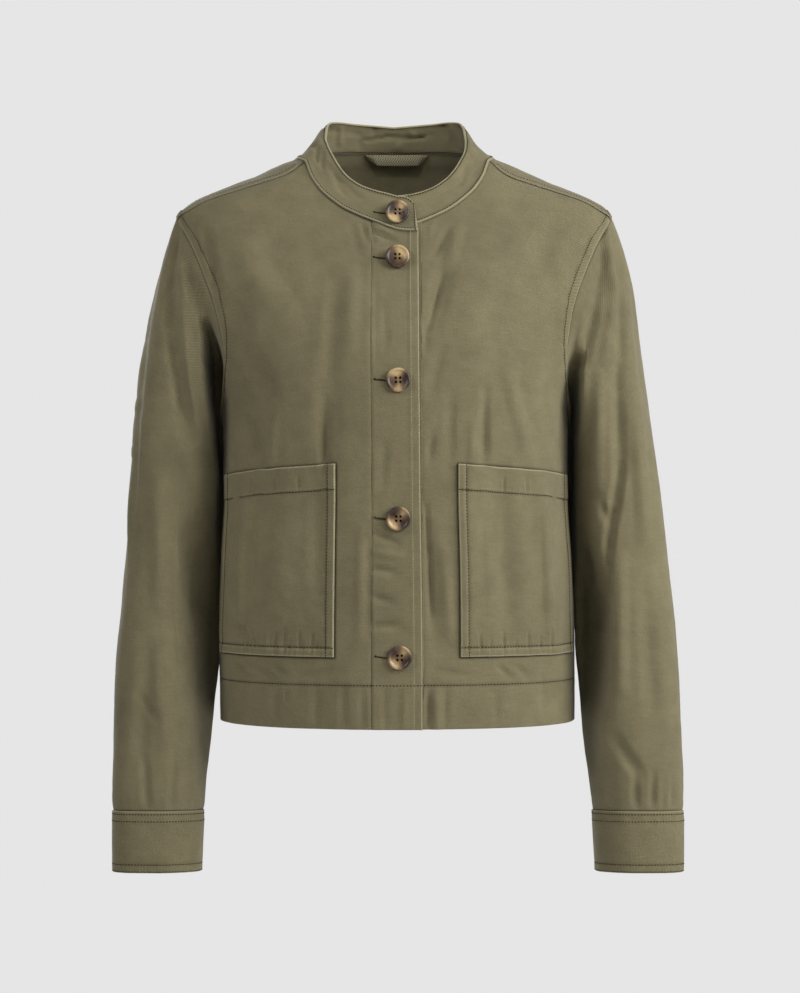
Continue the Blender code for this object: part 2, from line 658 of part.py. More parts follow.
def build_sleeves(material):
    """Both sleeves and cuffs. Returns the armhole's mitre, which is the same on both sides."""
    angles = armhole_ring()
    cuff = np.stack([ring_points(ring, angles) for ring in CUFF], axis=1)
    cuff_normals = grid_normals(cuff, closed=True)
    cuff = cuff + CUFF_PROUD * cuff_normals
    for name, side in (("left", 1), ("right", -1)):
        grid = sleeve_grid(side)
        shared, sideways = armhole_mitre(grid)
        normals = grid_normals(grid, closed=True)
        normals[:, 0] = shared
        outer = grid.copy()
        outer[:, 0] += SEAM_GAP / 2 * sideways
        outer[:, -1] += SEAM_GAP * np.array([0.0, 0.0, 1.0])
        inner = outer - CLOTH * normals
        wall_object("sleeve_" + name, mirrored(outer, side), mirrored(inner, side), material, closed=True)
        inside = cuff - BAND * cuff_normals
        wall_object("cuff_" + name, mirrored(cuff, side), mirrored(inside, side), material, closed=True)
    return shared, sideways


def band_columns(edge=PLACKET_EDGE_TOP):
    """Places across a front band, from its free edge to its seam, crowded at the collar's round corner."""
    corner = [COLLAR_CORNER * (1 - math.cos(math.radians(turn))) for turn in CORNER_TURNS]
    return np.array([distance - edge for distance in corner] + [0.0, PLACKET_SEAM / 2, PLACKET_SEAM])


def neck_height_at(x):
    curve = neckline(0, NECK_SEAM_ANGLE)
    return np.interp(np.abs(x), curve[:, 0], curve[:, 2])


def build_plackets(material):
    """The button stand at the form's own level, and the buttonhole band above it."""
    lower = lower_heights()
    seam_heights = front_grid()[0, :, 2]
    edges = np.interp(seam_heights, [HEM_Z, seam_heights[-1]], [PLACKET_EDGE_HEM, PLACKET_EDGE_TOP])
    x = np.stack([band_columns(edge) for edge in edges], axis=1)
    upper_share = (seam_heights[len(lower):] - UNDERARM_Z) / (seam_heights[-1] - UNDERARM_Z)
    tops = neck_height_at(x[:, -1])[:, None]
    upper = UNDERARM_Z + upper_share * (tops - UNDERARM_Z)
    heights = np.concatenate([np.tile(lower, (len(x), 1)), upper], axis=1)
    grid = front_point(x, heights)
    normals = form_normal(grid)
    for name, side in (("left", 1), ("right", -1)):
        lift = 0.0 if side > 0 else LAP_LIFT
        level = grid + lift * normals
        outer, inner = panel_walls(level, normals, ("last", "top"), BAND)
        wall_object("placket_" + name, mirrored(outer, side), mirrored(inner, side), material)


def collar_columns():
    """The collar's base, from the under end round the back to the top end: (angle, side, lift) rows."""
    curve_angles = np.linspace(0, NECK_SEAM_ANGLE, 400)
    curve_x = torso_point(curve_angles, neck_height(curve_angles))[:, 0]

    def angle_at(x):
        return float(np.interp(x, curve_x, curve_angles))

    across = band_columns()[:-1]
    rows = [(angle_at(abs(x)), -1 if x < 0 else 1, 0.0) for x in across]
    front = neckline(angle_at(PLACKET_SEAM), NECK_SEAM_ANGLE)
    front_x = resample(front, NECK_COLUMNS)[:, 0]
    front_angles = np.array([angle_at(x) for x in front_x[:-1]] + [NECK_SEAM_ANGLE])
    rows += [(angle, 1, 0.0) for angle in front_angles]
    back_curve = neckline(NECK_SEAM_ANGLE, 180, 400)
    lengths = np.concatenate([[0.0], np.cumsum(np.linalg.norm(np.diff(back_curve, axis=0), axis=1))])
    wanted = np.linspace(0, lengths[-1], BACK_NECK_COLUMNS + 1)
    back_angles = np.interp(wanted, lengths, np.linspace(NECK_SEAM_ANGLE, 180, 400))
    rows += [(angle, 1, 0.0) for angle in back_angles[1:]]
    rows += [(angle, -1, 0.0) for angle in back_angles[-2::-1]]
    front_lifts = lap_lift(front_x)
    rows += [(angle, -1, lift) for angle, lift in zip(front_angles[-2::-1], front_lifts[-2::-1])]
    rows += [(angle_at(abs(x)), 1 if x < 0 else -1, LAP_LIFT) for x in across[::-1]]
    return rows


def build_collar(material):
    rows = collar_columns()
    top_at = [through_rows(column(COLLAR_TOP, "angle"), column(COLLAR_TOP, axis)) for axis in "xyz"]
    grid = []
    for index, (angle, side, lift) in enumerate(rows):
        base = torso_point(angle, float(neck_height(angle)))
        top = np.array([float(axis(angle)) for axis in top_at])
        rise = top - base
        share = 1.0
        for end in (index, len(rows) - 1 - index):
            if end < len(CORNER_TURNS) - 1:
                turn = math.radians(CORNER_TURNS[end])
                share = 1 - COLLAR_CORNER * (1 - math.sin(turn)) / np.linalg.norm(rise)
        steps = np.linspace(0.0, share, COLLAR_ROWS + 1)[:, None]
        grid.append(mirrored(base + steps * rise + lift * form_normal(base), side))
    grid = np.array(grid)
    grid[:, 0] += SEAM_GAP / 2 * unit(grid[:, 1] - grid[:, 0])
    normals = grid_normals(grid, closed=False)
    base_normals = form_normal(mirrored(grid[:, 0], 1))
    normals[:, 0] = unit(base_normals + normals[:, 0])
    wall_object("collar", grid, grid - BAND * normals, material)


def build_hanger_loop(material):
    """A short tape inside the back neck. It bows away from the cloth, so that a hook goes behind it."""
    share = np.linspace(-1.0, 1.0, LOOP_COLUMNS + 1)
    x = LOOP_HALF_LENGTH * share
    sag = smooth_step((1 - np.abs(share)) / 0.35)
    middle_z = LOOP_END_Z + (LOOP_MIDDLE_Z - LOOP_END_Z) * sag
    end_top = LOOP_END_Z + LOOP_HALF_HEIGHT
    form_share = np.abs(x / torso_width(end_top)) ** TORSO_POWER
    form_y = torso_back(end_top) * (1 - form_share) ** (1 / TORSO_POWER)
    y = form_y - 1.5 * CLOTH - LOOP_CLEARANCE - LOOP_BOW * smooth_step((1 - np.abs(share)) / 0.5)
    rows = []
    for level in (-1.0, 1.0):
        rows.append(np.stack([x, y, middle_z + level * LOOP_HALF_HEIGHT], axis=-1))
    outer = np.stack(rows, axis=1)
    inner = outer - np.array([0.0, LOOP_THICKNESS, 0.0])
    wall_object("hanger_loop", outer, inner, material)


# ------------------------------------------------------------------ buttons
def turned_button(name, material):
    """A disc with a raised rim and a dish, and four holes cut through it. It stands on its own Z = 0."""
    shape = bmesh.new()
    rings = []
    for point in BUTTON_PROFILE:
        ring = []
        for index in range(BUTTON_SIDES):
            turn = 2 * math.pi * index / BUTTON_SIDES
            x = point.radius * math.cos(turn)
            y = point.radius * math.sin(turn)
            ring.append(shape.verts.new((x, y, point.height)))
        rings.append(ring)
    for below, above in zip(rings, rings[1:]):
        for index in range(BUTTON_SIDES):
            after = (index + 1) % BUTTON_SIDES
            shape.faces.new((below[index], below[after], above[after], above[index]))
    shape.faces.new(list(reversed(rings[0])))
    shape.faces.new(rings[-1])
    bmesh.ops.recalc_face_normals(shape, faces=shape.faces)
    blank_mesh = bpy.data.meshes.new(name)
    shape.to_mesh(blank_mesh)
    shape.free()
    blank = bpy.data.objects.new(name + "_blank", blank_mesh)

    cutter_shape = bmesh.new()
    for across in (-0.5, 0.5):
        for up in (-0.5, 0.5):
            made = bmesh.ops.create_cone(cutter_shape, cap_ends=True, segments=BUTTON_HOLE_SIDES,
                                         radius1=BUTTON_HOLE_RADIUS, radius2=BUTTON_HOLE_RADIUS,
                                         depth=BUTTON_CUTTER_LENGTH)
            offset = Vector((across * BUTTON_HOLE_PITCH, up * BUTTON_HOLE_PITCH, 0.0))
            bmesh.ops.translate(cutter_shape, verts=made["verts"], vec=offset)
    cutter_mesh = bpy.data.meshes.new(name + "_holes")
    cutter_shape.to_mesh(cutter_mesh)
    cutter_shape.free()
    cutter = bpy.data.objects.new(name + "_holes", cutter_mesh)
    for thing in (blank, cutter):
        bpy.context.scene.collection.objects.link(thing)
    cut = blank.modifiers.new("holes", "BOOLEAN")
    cut.object = cutter
    bpy.context.view_layer.update()
    drilled = bpy.data.meshes.new_from_object(blank.evaluated_get(bpy.context.evaluated_depsgraph_get()))
    drilled.name = name
    drilled.shade_smooth()
    drilled.set_sharp_from_angle(angle=math.radians(40))
    drilled.materials.clear()
    drilled.materials.append(material)
    for thing in (blank, cutter):
        bpy.data.objects.remove(thing)
    return drilled


def button_seat(height):
    """Where a button touches the cloth at the centre front, and the direction that it faces."""
    if height > neck_height(0.0):
        base = torso_point(0.0, float(neck_height(0.0)))
        top = np.array([COLLAR_TOP[0].x, COLLAR_TOP[0].y, COLLAR_TOP[0].z])
        share = (height - base[2]) / (top[2] - base[2])
        seat = base + share * (top - base)
        rise = unit(top - base)
        facing = np.array([0.0, -rise[2], rise[1]])
    else:
        seat = torso_point(0.0, height)
        facing = form_normal(seat)
    return seat + LAP_LIFT * facing, facing


def build_buttons(material):
    mesh = turned_button("button", material)
    for index, height in enumerate(BUTTON_HEIGHTS):
        seat, facing = button_seat(height)
        thing = bpy.data.objects.new(f"button_{index + 1}", mesh)
        thing.rotation_mode = "QUATERNION"
        thing.rotation_quaternion = Vector(facing).to_track_quat("Z", "X")
        thing.location = seat + BUTTON_STAND_OFF * facing
        bpy.context.scene.collection.objects.link(thing)


def main():
    for thing in list(bpy.data.objects):
        bpy.data.objects.remove(thing)
    twill = make_material("olive_twill", TWILL, 0.9)
    horn = make_material("horn", HORN, 0.3)
    mitre = build_sleeves(twill)
    build_fronts(twill, mitre)
    build_back(twill, mitre)
    build_plackets(twill)
    build_collar(twill)
    build_hanger_loop(twill)
    build_buttons(horn)


main()
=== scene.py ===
"""Looks of the band-collar twill jacket: creased cloth, seams, stitches, horn buttons, studio and camera.

Metres, +Z up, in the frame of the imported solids. The front faces -Y and the wearer's right is at -X.

Every cloth piece is a grid of points (columns, rows) on the same forms as its solid. The grid is finer here,
the creases, seam ridges and puckers are moved out along its normals, and a closed wall is made from it.
Stitches are small capsules laid along lines on those grids.
"""

from collections import namedtuple
import math

import bmesh
import bpy
from mathutils import Matrix, Vector
import numpy as np


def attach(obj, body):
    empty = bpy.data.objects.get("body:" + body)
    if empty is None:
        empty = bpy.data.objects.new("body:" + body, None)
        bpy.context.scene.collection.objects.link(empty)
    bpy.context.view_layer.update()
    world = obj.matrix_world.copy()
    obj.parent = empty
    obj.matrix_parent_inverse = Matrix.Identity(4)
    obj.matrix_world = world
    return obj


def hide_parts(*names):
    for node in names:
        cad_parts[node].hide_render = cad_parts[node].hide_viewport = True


# ------------------------------------------------------------------ driving sizes, the same as the solids'
RIGHT, LEFT = -1, 1                         # the wearer's sides, by their sign along X
SIDE_NAMES = {LEFT: "left", RIGHT: "right"}

SEAM_GAP = 0.0003
CLOTH = 0.0014
BAND = 0.0022

HEM_Z = -0.533
HEM_FOLD = 0.040
HEM_LINE = HEM_Z + HEM_FOLD                 # the height of the hem's stitches
UNDERARM_Z = -0.240

PLACKET_EDGE_TOP = 0.0198
PLACKET_EDGE_HEM = 0.0222
PLACKET_SEAM = 0.0228
LAP_LIFT = BAND + SEAM_GAP
LAP_BLEND = 0.060

NECK_SEAM_ANGLE = 47.0
ARMHOLE_ANGLE = 33.5
ARMHOLE_MID_Z = -0.148
ARMHOLE_HALF_HEIGHT = 0.092
SHOULDER_POINT = 18.0
SHOULDER_START = 0.085                      # how far out the shoulder seam's own shape starts

POCKET_TOP_Z = -0.293
POCKET_BOTTOM_Z = -0.4675
POCKET_SLANT = 0.0095
POCKET_MIDDLE_Z = -0.38
POCKET_INNER_ANGLE = 19.3
POCKET_OUTER_ANGLE = 72.2

BUTTON_HEIGHTS = (-0.0590, -0.1033, -0.2169, -0.3409, -0.4652)
BUTTON_DROPS = (0.0032, 0.0028, 0.0014, 0.0014, 0.0022)
BUTTON_ACROSS = (0.0006, 0.0008, 0.0014, 0.0012, 0.0018)
BUTTON_HOLE_RADIUS = 0.00118
BUTTON_HOLE_PITCH = 0.0039
BUTTON_STAND_OFF = 0.0006
BUTTONHOLE_NEAR = -0.0095
BUTTONHOLE_FAR = -0.0215
BUTTON_UPRIGHT = 0.55                       # how far a button turns from the cloth's slope towards upright

LAP_DROP = 0.0088                           # how much lower the upper front's neck seam runs at its free end
LAP_DROP_START = -0.016
LAP_DROP_SPAN = 0.036

COLLAR_CORNER = 0.012
COLLAR_HEIGHT = 0.032
HANGER_MIDDLE = 0.0022
HANGER_HALF_LENGTH = 0.0300
HANGER_THICKNESS = 0.0010
HANGER_Z = 0.0086                           # the level at which its cloth's curve is taken
CUFF_PROUD = 0.0006
CAP_LEAN_UNDER = 0.12
CAP_LEAN_TOP = 0.40
CREVICE_FLOOR = 0.004
CREVICE_REACH = 0.88                        # the share of the way back that the deepest crevice goes
CUFF_END_SHARE = 0.12                       # how much of a sleeve's folds is left at the cuff's seam

FRONT_COLUMNS = (2, 6, 3)
NECK_COLUMNS = 5
BACK_NECK_COLUMNS = 6
SHOULDER_COLUMNS = 6
POCKET_ROWS = 6
POCKET_STOPS = (3, 3 + POCKET_ROWS)         # which of the rows' stops are the pocket's bottom and top
WAIST_ROWS = 2
ARMHOLE_ROWS = 14
ARMHOLE_CELL = 0.0145
EVENING_STEPS = 60
MIDDLE_Z = -0.33                            # where the columns' widths are measured

# ------------------------------------------------------------------ fineness of the looks
CELL = 0.0027     # widest cell of a cloth grid
EDGE_LINES = (0.0004, 0.0011, 0.0022)       # extra grid lines by a seam or a folded edge
BORDER_LINES = (0.0006, 0.0015)             # extra lines on a front, beside its pocket
CAP_ROWS = 74
BODY_FOLD_GAIN = 1.5                        # the looks' creases against the solids' shallower ones
SLEEVE_FOLD_GAIN = 1.6

# ------------------------------------------------------------------ stitches and where their rows run
Stitch = namedtuple("Stitch", "pitch length radius slant")
TOPSTITCH = Stitch(0.0029, 0.0018, 0.00042, 0.0)
COLLAR_STITCH = Stitch(0.0027, 0.0018, 0.00056, 0.0)
POCKET_EDGE_STITCH = Stitch(0.0026, 0.0020, 0.00019, 0.0)
BAND_STITCH = Stitch(0.0026, 0.0021, 0.00017, 0.0)
OVERCAST_STITCH = Stitch(0.0024, 0.0022, 0.00036, 0.25)
BUTTONHOLE_STITCH = Stitch(0.0010, 0.0012, 0.00026, 0.5)
STITCH_SIDES = 6
STITCH_PROFILE = ((-0.5, 0.35), (-0.36, 1.0), (0.36, 1.0), (0.5, 0.35))     # place along it, share of radius

ARMHOLE_ROW = 0.0088
ARMHOLE_BAND = 0.0098                       # how wide the turnings under the armhole's stitches are
SHOULDER_ROW = 0.0055
POCKET_HEM = 0.0235
POCKET_STITCHING = (("top", POCKET_HEM), ("first", 0.0080), ("bottom", 0.0088), ("last", 0.0080))
POCKET_EDGE_ROW = 0.0013
CUFF_STITCHING = (("bottom", 0.0035), ("bottom", 0.0100), ("top", 0.0015), ("top", 0.0080))
BAND_ROW = 0.0078
BAND_EDGE_ROW = 0.0010
COLLAR_END_ROW = 0.0030


# ------------------------------------------------------------------ tables
def rows_of(kind, rows):
    return [kind(*row) for row in rows]


# The trunk's form: height, half the width, and the depths in front and behind.
TORSO = (
    (-0.54, 0.1668, 0.118, 0.108), (-0.48, 0.1666, 0.12, 0.103), (-0.4, 0.166, 0.1225, 0.098),
    (-0.32, 0.1652, 0.1245, 0.0985), (-0.24, 0.166, 0.1245, 0.103), (-0.19, 0.1765, 0.1185, 0.1055),
    (-0.15, 0.19, 0.1075, 0.105), (-0.11, 0.2005, 0.0915, 0.101), (-0.08, 0.204, 0.074, 0.096),
    (-0.058, 0.206, 0.063, 0.0905), (-0.0465, 0.1985, 0.058, 0.087), (-0.0295, 0.164, 0.0505, 0.081),
    (-0.018, 0.135, 0.045, 0.076), (-0.0066, 0.1095, 0.04, 0.07), (0, 0.0875, 0.036, 0.0665),
    (0.006, 0.078, 0.032, 0.063), (0.011, 0.07, 0.029, 0.06), (0.03, 0.045, 0.02, 0.05),
)
TORSO_POWER = 2.3

# The neck seam: angle round the form and height.
NECKLINE = (
    (0, -0.075), (2.5, -0.0737), (5.2, -0.0705), (12.2, -0.059), (19.8, -0.042), (31.6, -0.023),
    (48.8, -0.007), (90, 0), (120, 0.006), (150, 0.0105), (180, 0.011),
)

# The collar's top edge: angle round the neck, and place.
COLLAR_TOP = (
    (0, 0, -0.056, -0.043), (5.2, 0.014, -0.0555, -0.041), (12.2, 0.032, -0.053, -0.035),
    (19.8, 0.048, -0.046, -0.023), (31.6, 0.058, -0.035, -0.008), (48.8, 0.0645, -0.02, 0.006),
    (90, 0.0675, -0.001, 0.021), (105, 0.0665, 0.012, 0.031), (120, 0.062, 0.024, 0.0368),
    (135, 0.051, 0.0325, 0.0381), (150, 0.035, 0.041, 0.0376), (180, 0, 0.0455, 0.0355),
)

# The shoulder seam: share of its way out, angle round the form and height.
SHOULDER_SEAM = (
    (0.08, 45.5, -0.0165), (0.2, 50, -0.0255), (0.42, 56, -0.034), (0.62, 62.5, -0.042),
    (0.8, 68.5, -0.0515),
)

Ring = namedtuple("Ring", "height inner outer front back tilt")
SLEEVE = rows_of(Ring, (
    (-0.29, 0.1648, 0.248, -0.066, 0.07, 0), (-0.326, 0.1646, 0.2508, -0.0665, 0.065, 0),
    (-0.383, 0.1652, 0.256, -0.067, 0.059, 0.01), (-0.421, 0.1656, 0.2596, -0.069, 0.053, 0.02),
    (-0.459, 0.1662, 0.2626, -0.071, 0.047, 0.03), (-0.515, 0.1722, 0.2657, -0.074, 0.036, 0.05),
    (-0.553, 0.1755, 0.2668, -0.0755, 0.0275, 0.06), (-0.59, 0.1795, 0.2675, -0.076, 0.018, 0.07),
    (-0.6155, 0.1818, 0.266, -0.0745, 0.009, 0.08),
))
CUFF = rows_of(Ring, (
    (-0.6155, 0.1818, 0.266, -0.0745, 0.009, 0.08), (-0.644, 0.1828, 0.2662, -0.0755, 0.006, 0.08),
    (-0.672, 0.184, 0.266, -0.076, 0.003, 0.08),
))
SLEEVE_POWER = 2.4
INNER_FRONT_POWER = -0.35                   # added at the corner that faces the body, which slopes away
OUTER_FRONT_POWER = 0.50                    # added at the front's outer corner, which is fuller

# Each sleeve's front lies back beside the body. By height: from how far out, over what width, and by what
# share of the way. The first table is the narrow gap between the two, the second the slope beside it.
CREVICES = {
    RIGHT: (
        (-0.125, 0.179, 0.014, 0), (-0.146, 0.181, 0.014, 0.09), (-0.166, 0.1815, 0.012, 0.34),
        (-0.186, 0.181, 0.01, 0.72), (-0.205, 0.18, 0.007, 1), (-0.233, 0.1785, 0.006, 1),
        (-0.27, 0.1745, 0.005, 1), (-0.31, 0.1715, 0.005, 1), (-0.345, 0.1715, 0.006, 0.9),
        (-0.381, 0.1705, 0.006, 0.6), (-0.42, 0.17, 0.006, 0.3), (-0.46, 0.17, 0.006, 0),
    ),
    LEFT: (
        (-0.14, 0.176, 0.014, 0), (-0.162, 0.1785, 0.016, 0.04), (-0.184, 0.1785, 0.014, 0.12),
        (-0.204, 0.177, 0.01, 0.38), (-0.224, 0.1758, 0.007, 0.82), (-0.242, 0.1755, 0.006, 1),
        (-0.27, 0.1735, 0.005, 1), (-0.31, 0.1715, 0.004, 1), (-0.345, 0.1705, 0.004, 0.8),
        (-0.381, 0.17, 0.004, 0.3), (-0.42, 0.17, 0.004, 0),
    ),
}
SLOPES = {
    RIGHT: (
        (-0.233, 0.196, 0.026, 0), (-0.27, 0.197, 0.028, 0.12), (-0.31, 0.198, 0.03, 0.22),
        (-0.345, 0.2, 0.032, 0.48), (-0.381, 0.203, 0.034, 0.68), (-0.42, 0.2055, 0.036, 0.8),
        (-0.46, 0.202, 0.032, 0.85), (-0.5, 0.1975, 0.026, 0.85), (-0.535, 0.1935, 0.022, 0.75),
        (-0.57, 0.1905, 0.018, 0.6), (-0.615, 0.187, 0.012, 0.3),
    ),
    LEFT: (
        (-0.31, 0.185, 0.014, 0), (-0.345, 0.187, 0.016, 0.12), (-0.381, 0.1925, 0.022, 0.45),
        (-0.42, 0.1965, 0.024, 0.88), (-0.46, 0.196, 0.024, 0.9), (-0.5, 0.195, 0.022, 0.82),
        (-0.535, 0.1935, 0.02, 0.55), (-0.57, 0.192, 0.018, 0.3), (-0.615, 0.19, 0.012, 0),
    ),
}

# Folds and creases, as seen from the front or the back: two ends (x from the centre line), half the width,
# and the height, which is negative in a trough. Their rows are written in tenths of a millimetre.
Fold = namedtuple("Fold", "x0 z0 x1 z1 half_width height")


def folds(right, left):
    """Folds by the side that they lie on, in metres."""
    sides = {RIGHT: right, LEFT: left}
    return {side: [Fold(*(value / 10000 for value in row)) for row in rows] for side, rows in sides.items()}


FRONT_FOLDS = folds(
    right=(
        (1755, -751, 1682, -1092, 75, -30), (1682, -1030, 1645, -1322, 75, -26),
        (600, -2000, 660, -2850, 180, -22), (1250, -2100, 1180, -2850, 200, -22),
        (662, -2600, 662, -2940, 60, -16), (665, -2350, 662, -3000, 75, -24),
        (1374, -2620, 1257, -2935, 90, -26), (1400, -2280, 1310, -2960, 140, -26),
        (1120, -2400, 1165, -2950, 90, 24), (400, -1200, 420, -1900, 110, 14),
        (560, -1300, 600, -2100, 110, -14), (1165, -790, 1080, -1340, 260, -16),
        (1480, -1420, 1400, -1680, 200, -14), (1320, -1950, 1140, -2360, 160, -16),
        (1400, -960, 980, -1640, 200, 18), (315, -730, 262, -900, 36, -13), (420, -740, 350, -1000, 65, -7),
        (260, -3620, 262, -4480, 40, -8), (720, -3050, 700, -4200, 130, -18),
        (1040, -3050, 1020, -4400, 200, 14), (330, -3500, 340, -4500, 75, 10),
        (500, -4800, 900, -4870, 80, -10), (1300, -4780, 1150, -4870, 40, -14),
        (1130, -4770, 980, -4860, 40, -13), (1480, -4790, 1360, -4880, 40, -12),
        (995, -4965, 998, -5090, 24, -9), (1560, -4960, 1580, -5300, 60, -12),
        (1350, -4960, 1360, -5200, 70, 9), (1100, -4980, 1110, -5310, 60, -9),
        (720, -4960, 740, -5310, 60, -11), (490, -4960, 480, -5310, 60, -11),
        (310, -4960, 315, -5310, 50, -10),
    ),
    left=(
        (900, -4760, 1040, -4880, 38, -17), (1060, -4760, 1190, -4870, 38, -15),
        (330, -4800, 680, -4850, 50, -10), (1500, -700, 1280, -1180, 180, -26),
        (460, -1100, 320, -1700, 140, -26), (950, -1900, 880, -2800, 200, -22),
        (336, -690, 253, -910, 45, 12), (290, -780, 262, -900, 36, -12), (470, -755, 340, -1020, 55, -12),
        (570, -760, 460, -1150, 95, 16), (425, -1180, 290, -1720, 40, -21),
        (820, -2280, 800, -2960, 80, -30), (1060, -2150, 1250, -2960, 110, 26),
        (690, -2560, 685, -2950, 60, 14), (500, -2300, 480, -2950, 80, -15),
        (275, -1630, 265, -1920, 45, -12), (325, -2680, 300, -2900, 55, -15),
        (262, -3300, 284, -3740, 32, -17), (282, -3680, 302, -4320, 36, -21),
        (290, -3500, 320, -4500, 95, -14), (420, -3700, 470, -4500, 80, 14),
        (950, -3050, 1010, -4500, 190, -40), (1340, -3050, 1420, -4600, 140, 30),
        (640, -3000, 620, -4500, 160, 14), (278, -4970, 278, -5320, 45, -18),
        (350, -4970, 355, -5320, 50, 12), (430, -4970, 430, -5320, 50, -12),
        (900, -4970, 890, -5300, 60, -9), (1330, -4960, 1340, -5250, 65, -9),
        (1530, -1000, 1560, -2300, 120, 14), (1200, -1900, 1050, -2500, 220, -16),
        (700, -1250, 620, -2000, 240, 14), (410, -1900, 300, -2300, 90, -14),
    ),
)
PLACKET_FOLDS = folds(
    right=(
        (215, -735, 40, -835, 42, 10), (212, -805, 20, -890, 32, -30), (225, -760, 205, -930, 30, -9),
        (212, -3560, 0, -3640, 48, -20), (215, -3730, -20, -3760, 50, 14), (215, -3880, 40, -3900, 50, -20),
        (215, -4130, 60, -4170, 50, -18), (215, -4400, -10, -4380, 50, -17),
        (120, -1500, 100, -1900, 70, -9), (110, -2750, 130, -3150, 70, -9),
        (190, -1250, 185, -2000, 45, -7), (120, -4960, 110, -5310, 50, -9), (-60, -4960, -65, -5310, 50, 9),
    ),
    left=(
        (100, -1400, 80, -2100, 80, -8),
    ),
)
# A pocket's creases: gathers over its lower seam, soft streaks near its outer edge, short ones at its hem.
POCKET_FOLDS = folds(
    right=(
        (1500, -3120, 1470, -4500, 70, -16), (1390, -3250, 1420, -4400, 60, 12),
        (1300, -3180, 1330, -4150, 60, -10), (1378, -4660, 1372, -4420, 22, -9),
        (1342, -4660, 1340, -4500, 18, -8), (1305, -4660, 1300, -4440, 20, -9),
        (1270, -4660, 1270, -4520, 16, -7), (1170, -4660, 1160, -4480, 28, 6),
        (1089, -4660, 1080, -4460, 20, -9), (1003, -4660, 1000, -4430, 22, -10),
        (966, -4660, 960, -4520, 16, -8), (875, -4660, 870, -4450, 22, -9),
        (845, -4660, 842, -4540, 16, -8), (763, -4660, 755, -4470, 20, -9),
        (727, -4660, 720, -4550, 16, -7), (1350, -3210, 1345, -3080, 22, -6),
        (1120, -3190, 1120, -3060, 22, -6), (900, -3160, 900, -3050, 22, -6),
    ),
    left=(
        (1480, -3150, 1450, -4300, 70, -14), (1380, -3300, 1370, -4500, 65, 10),
        (860, -3200, 780, -3900, 120, -12), (1395, -4660, 1390, -4440, 22, -8),
        (1290, -4660, 1285, -4500, 20, -7), (1180, -4660, 1175, -4460, 22, -8),
        (1060, -4660, 1060, -4530, 18, -6), (950, -4660, 945, -4470, 22, -8),
        (830, -4660, 828, -4520, 18, -6), (740, -4660, 735, -4480, 20, -8),
        (1200, -3200, 1195, -3070, 22, -6), (980, -3180, 985, -3060, 22, -6),
    ),
)
BACK_FOLDS = folds(
    right=(
        (1400, -850, 1500, -1900, 160, -35), (600, -2600, 520, -4700, 260, -30),
        (1180, -1200, 1280, -2300, 180, 18), (300, -600, 750, -850, 120, -14),
        (1000, -3000, 900, -4800, 200, 20), (1300, -2500, 1000, -2900, 100, -18),
        (200, -3300, 260, -4800, 140, 12),
    ),
    left=(
        (1450, -800, 1520, -1800, 160, -35), (750, -2300, 820, -4500, 260, -30),
        (1200, -1100, 1320, -2100, 160, 18), (400, -520, 850, -800, 120, -14),
        (1180, -2700, 1120, -4800, 220, 22), (300, -2700, 360, -4000, 160, 12),
        (1400, -2350, 1080, -2620, 90, -18), (1420, -3000, 1460, -4700, 120, -18),
    ),
)
SLEEVE_FRONT_FOLDS = folds(
    right=(
        (2040, -660, 2115, -1250, 50, -32), (2115, -1150, 2095, -1600, 85, -36),
        (2098, -1500, 2043, -1980, 90, -34), (2043, -1880, 1931, -2720, 100, -34),
        (1970, -850, 1945, -1600, 70, 18), (1945, -1550, 1885, -2350, 70, 24),
        (1885, -2250, 1838, -2750, 70, 20), (1960, -980, 1880, -1250, 60, -24),
        (1880, -1200, 1765, -1650, 90, -34), (2275, -1000, 2370, -1720, 36, 14),
        (2370, -1660, 2427, -2410, 36, 15), (2427, -2340, 2456, -2845, 36, 15),
        (2456, -2780, 2500, -3850, 36, 13), (2230, -1000, 2325, -1720, 36, -10),
        (2325, -1660, 2380, -2410, 36, -11), (2380, -2340, 2435, -3400, 36, -11),
        (2395, -3550, 2460, -3850, 80, -18), (2195, -3050, 2180, -4200, 140, 30),
        (2000, -2950, 1850, -4250, 150, -40), (2080, -4200, 1990, -4950, 120, -24),
        (2300, -4600, 2360, -5600, 120, -16), (2200, -4700, 2140, -5500, 110, 14),
        (2380, -5050, 2200, -5300, 70, -10), (2050, -5550, 2080, -6100, 60, -14),
        (2330, -5650, 2300, -6100, 70, -14),
    ),
    left=(
        (1970, -640, 2045, -1300, 65, 34), (2045, -1200, 2020, -1620, 80, 30),
        (2020, -1540, 1950, -1980, 90, 20), (1960, -900, 1920, -1250, 65, -22),
        (1920, -1180, 1850, -1600, 85, -28), (1850, -1530, 1740, -1980, 100, -34),
        (2161, -1200, 2264, -2330, 95, 22), (2264, -2250, 2293, -3600, 110, 26),
        (2120, -1500, 2090, -2200, 85, -16), (2085, -2050, 2080, -3000, 110, -36),
        (2080, -2950, 2003, -3450, 85, -36), (2003, -3370, 1930, -3900, 75, -40),
        (1900, -2100, 1880, -3150, 85, 22), (1910, -3300, 1940, -3450, 55, -20),
        (1740, -3660, 1820, -4010, 65, -22), (1930, -3850, 1880, -4400, 100, -34),
        (2070, -3800, 2060, -5000, 100, 18), (1900, -4300, 1900, -5250, 130, -30),
        (1985, -5440, 2220, -5780, 95, -24), (2300, -4200, 2360, -5300, 130, -18),
        (2180, -5800, 2190, -6120, 60, -16), (2350, -5780, 2340, -6120, 60, -16),
        (2540, -5820, 2530, -6120, 50, -12),
    ),
)
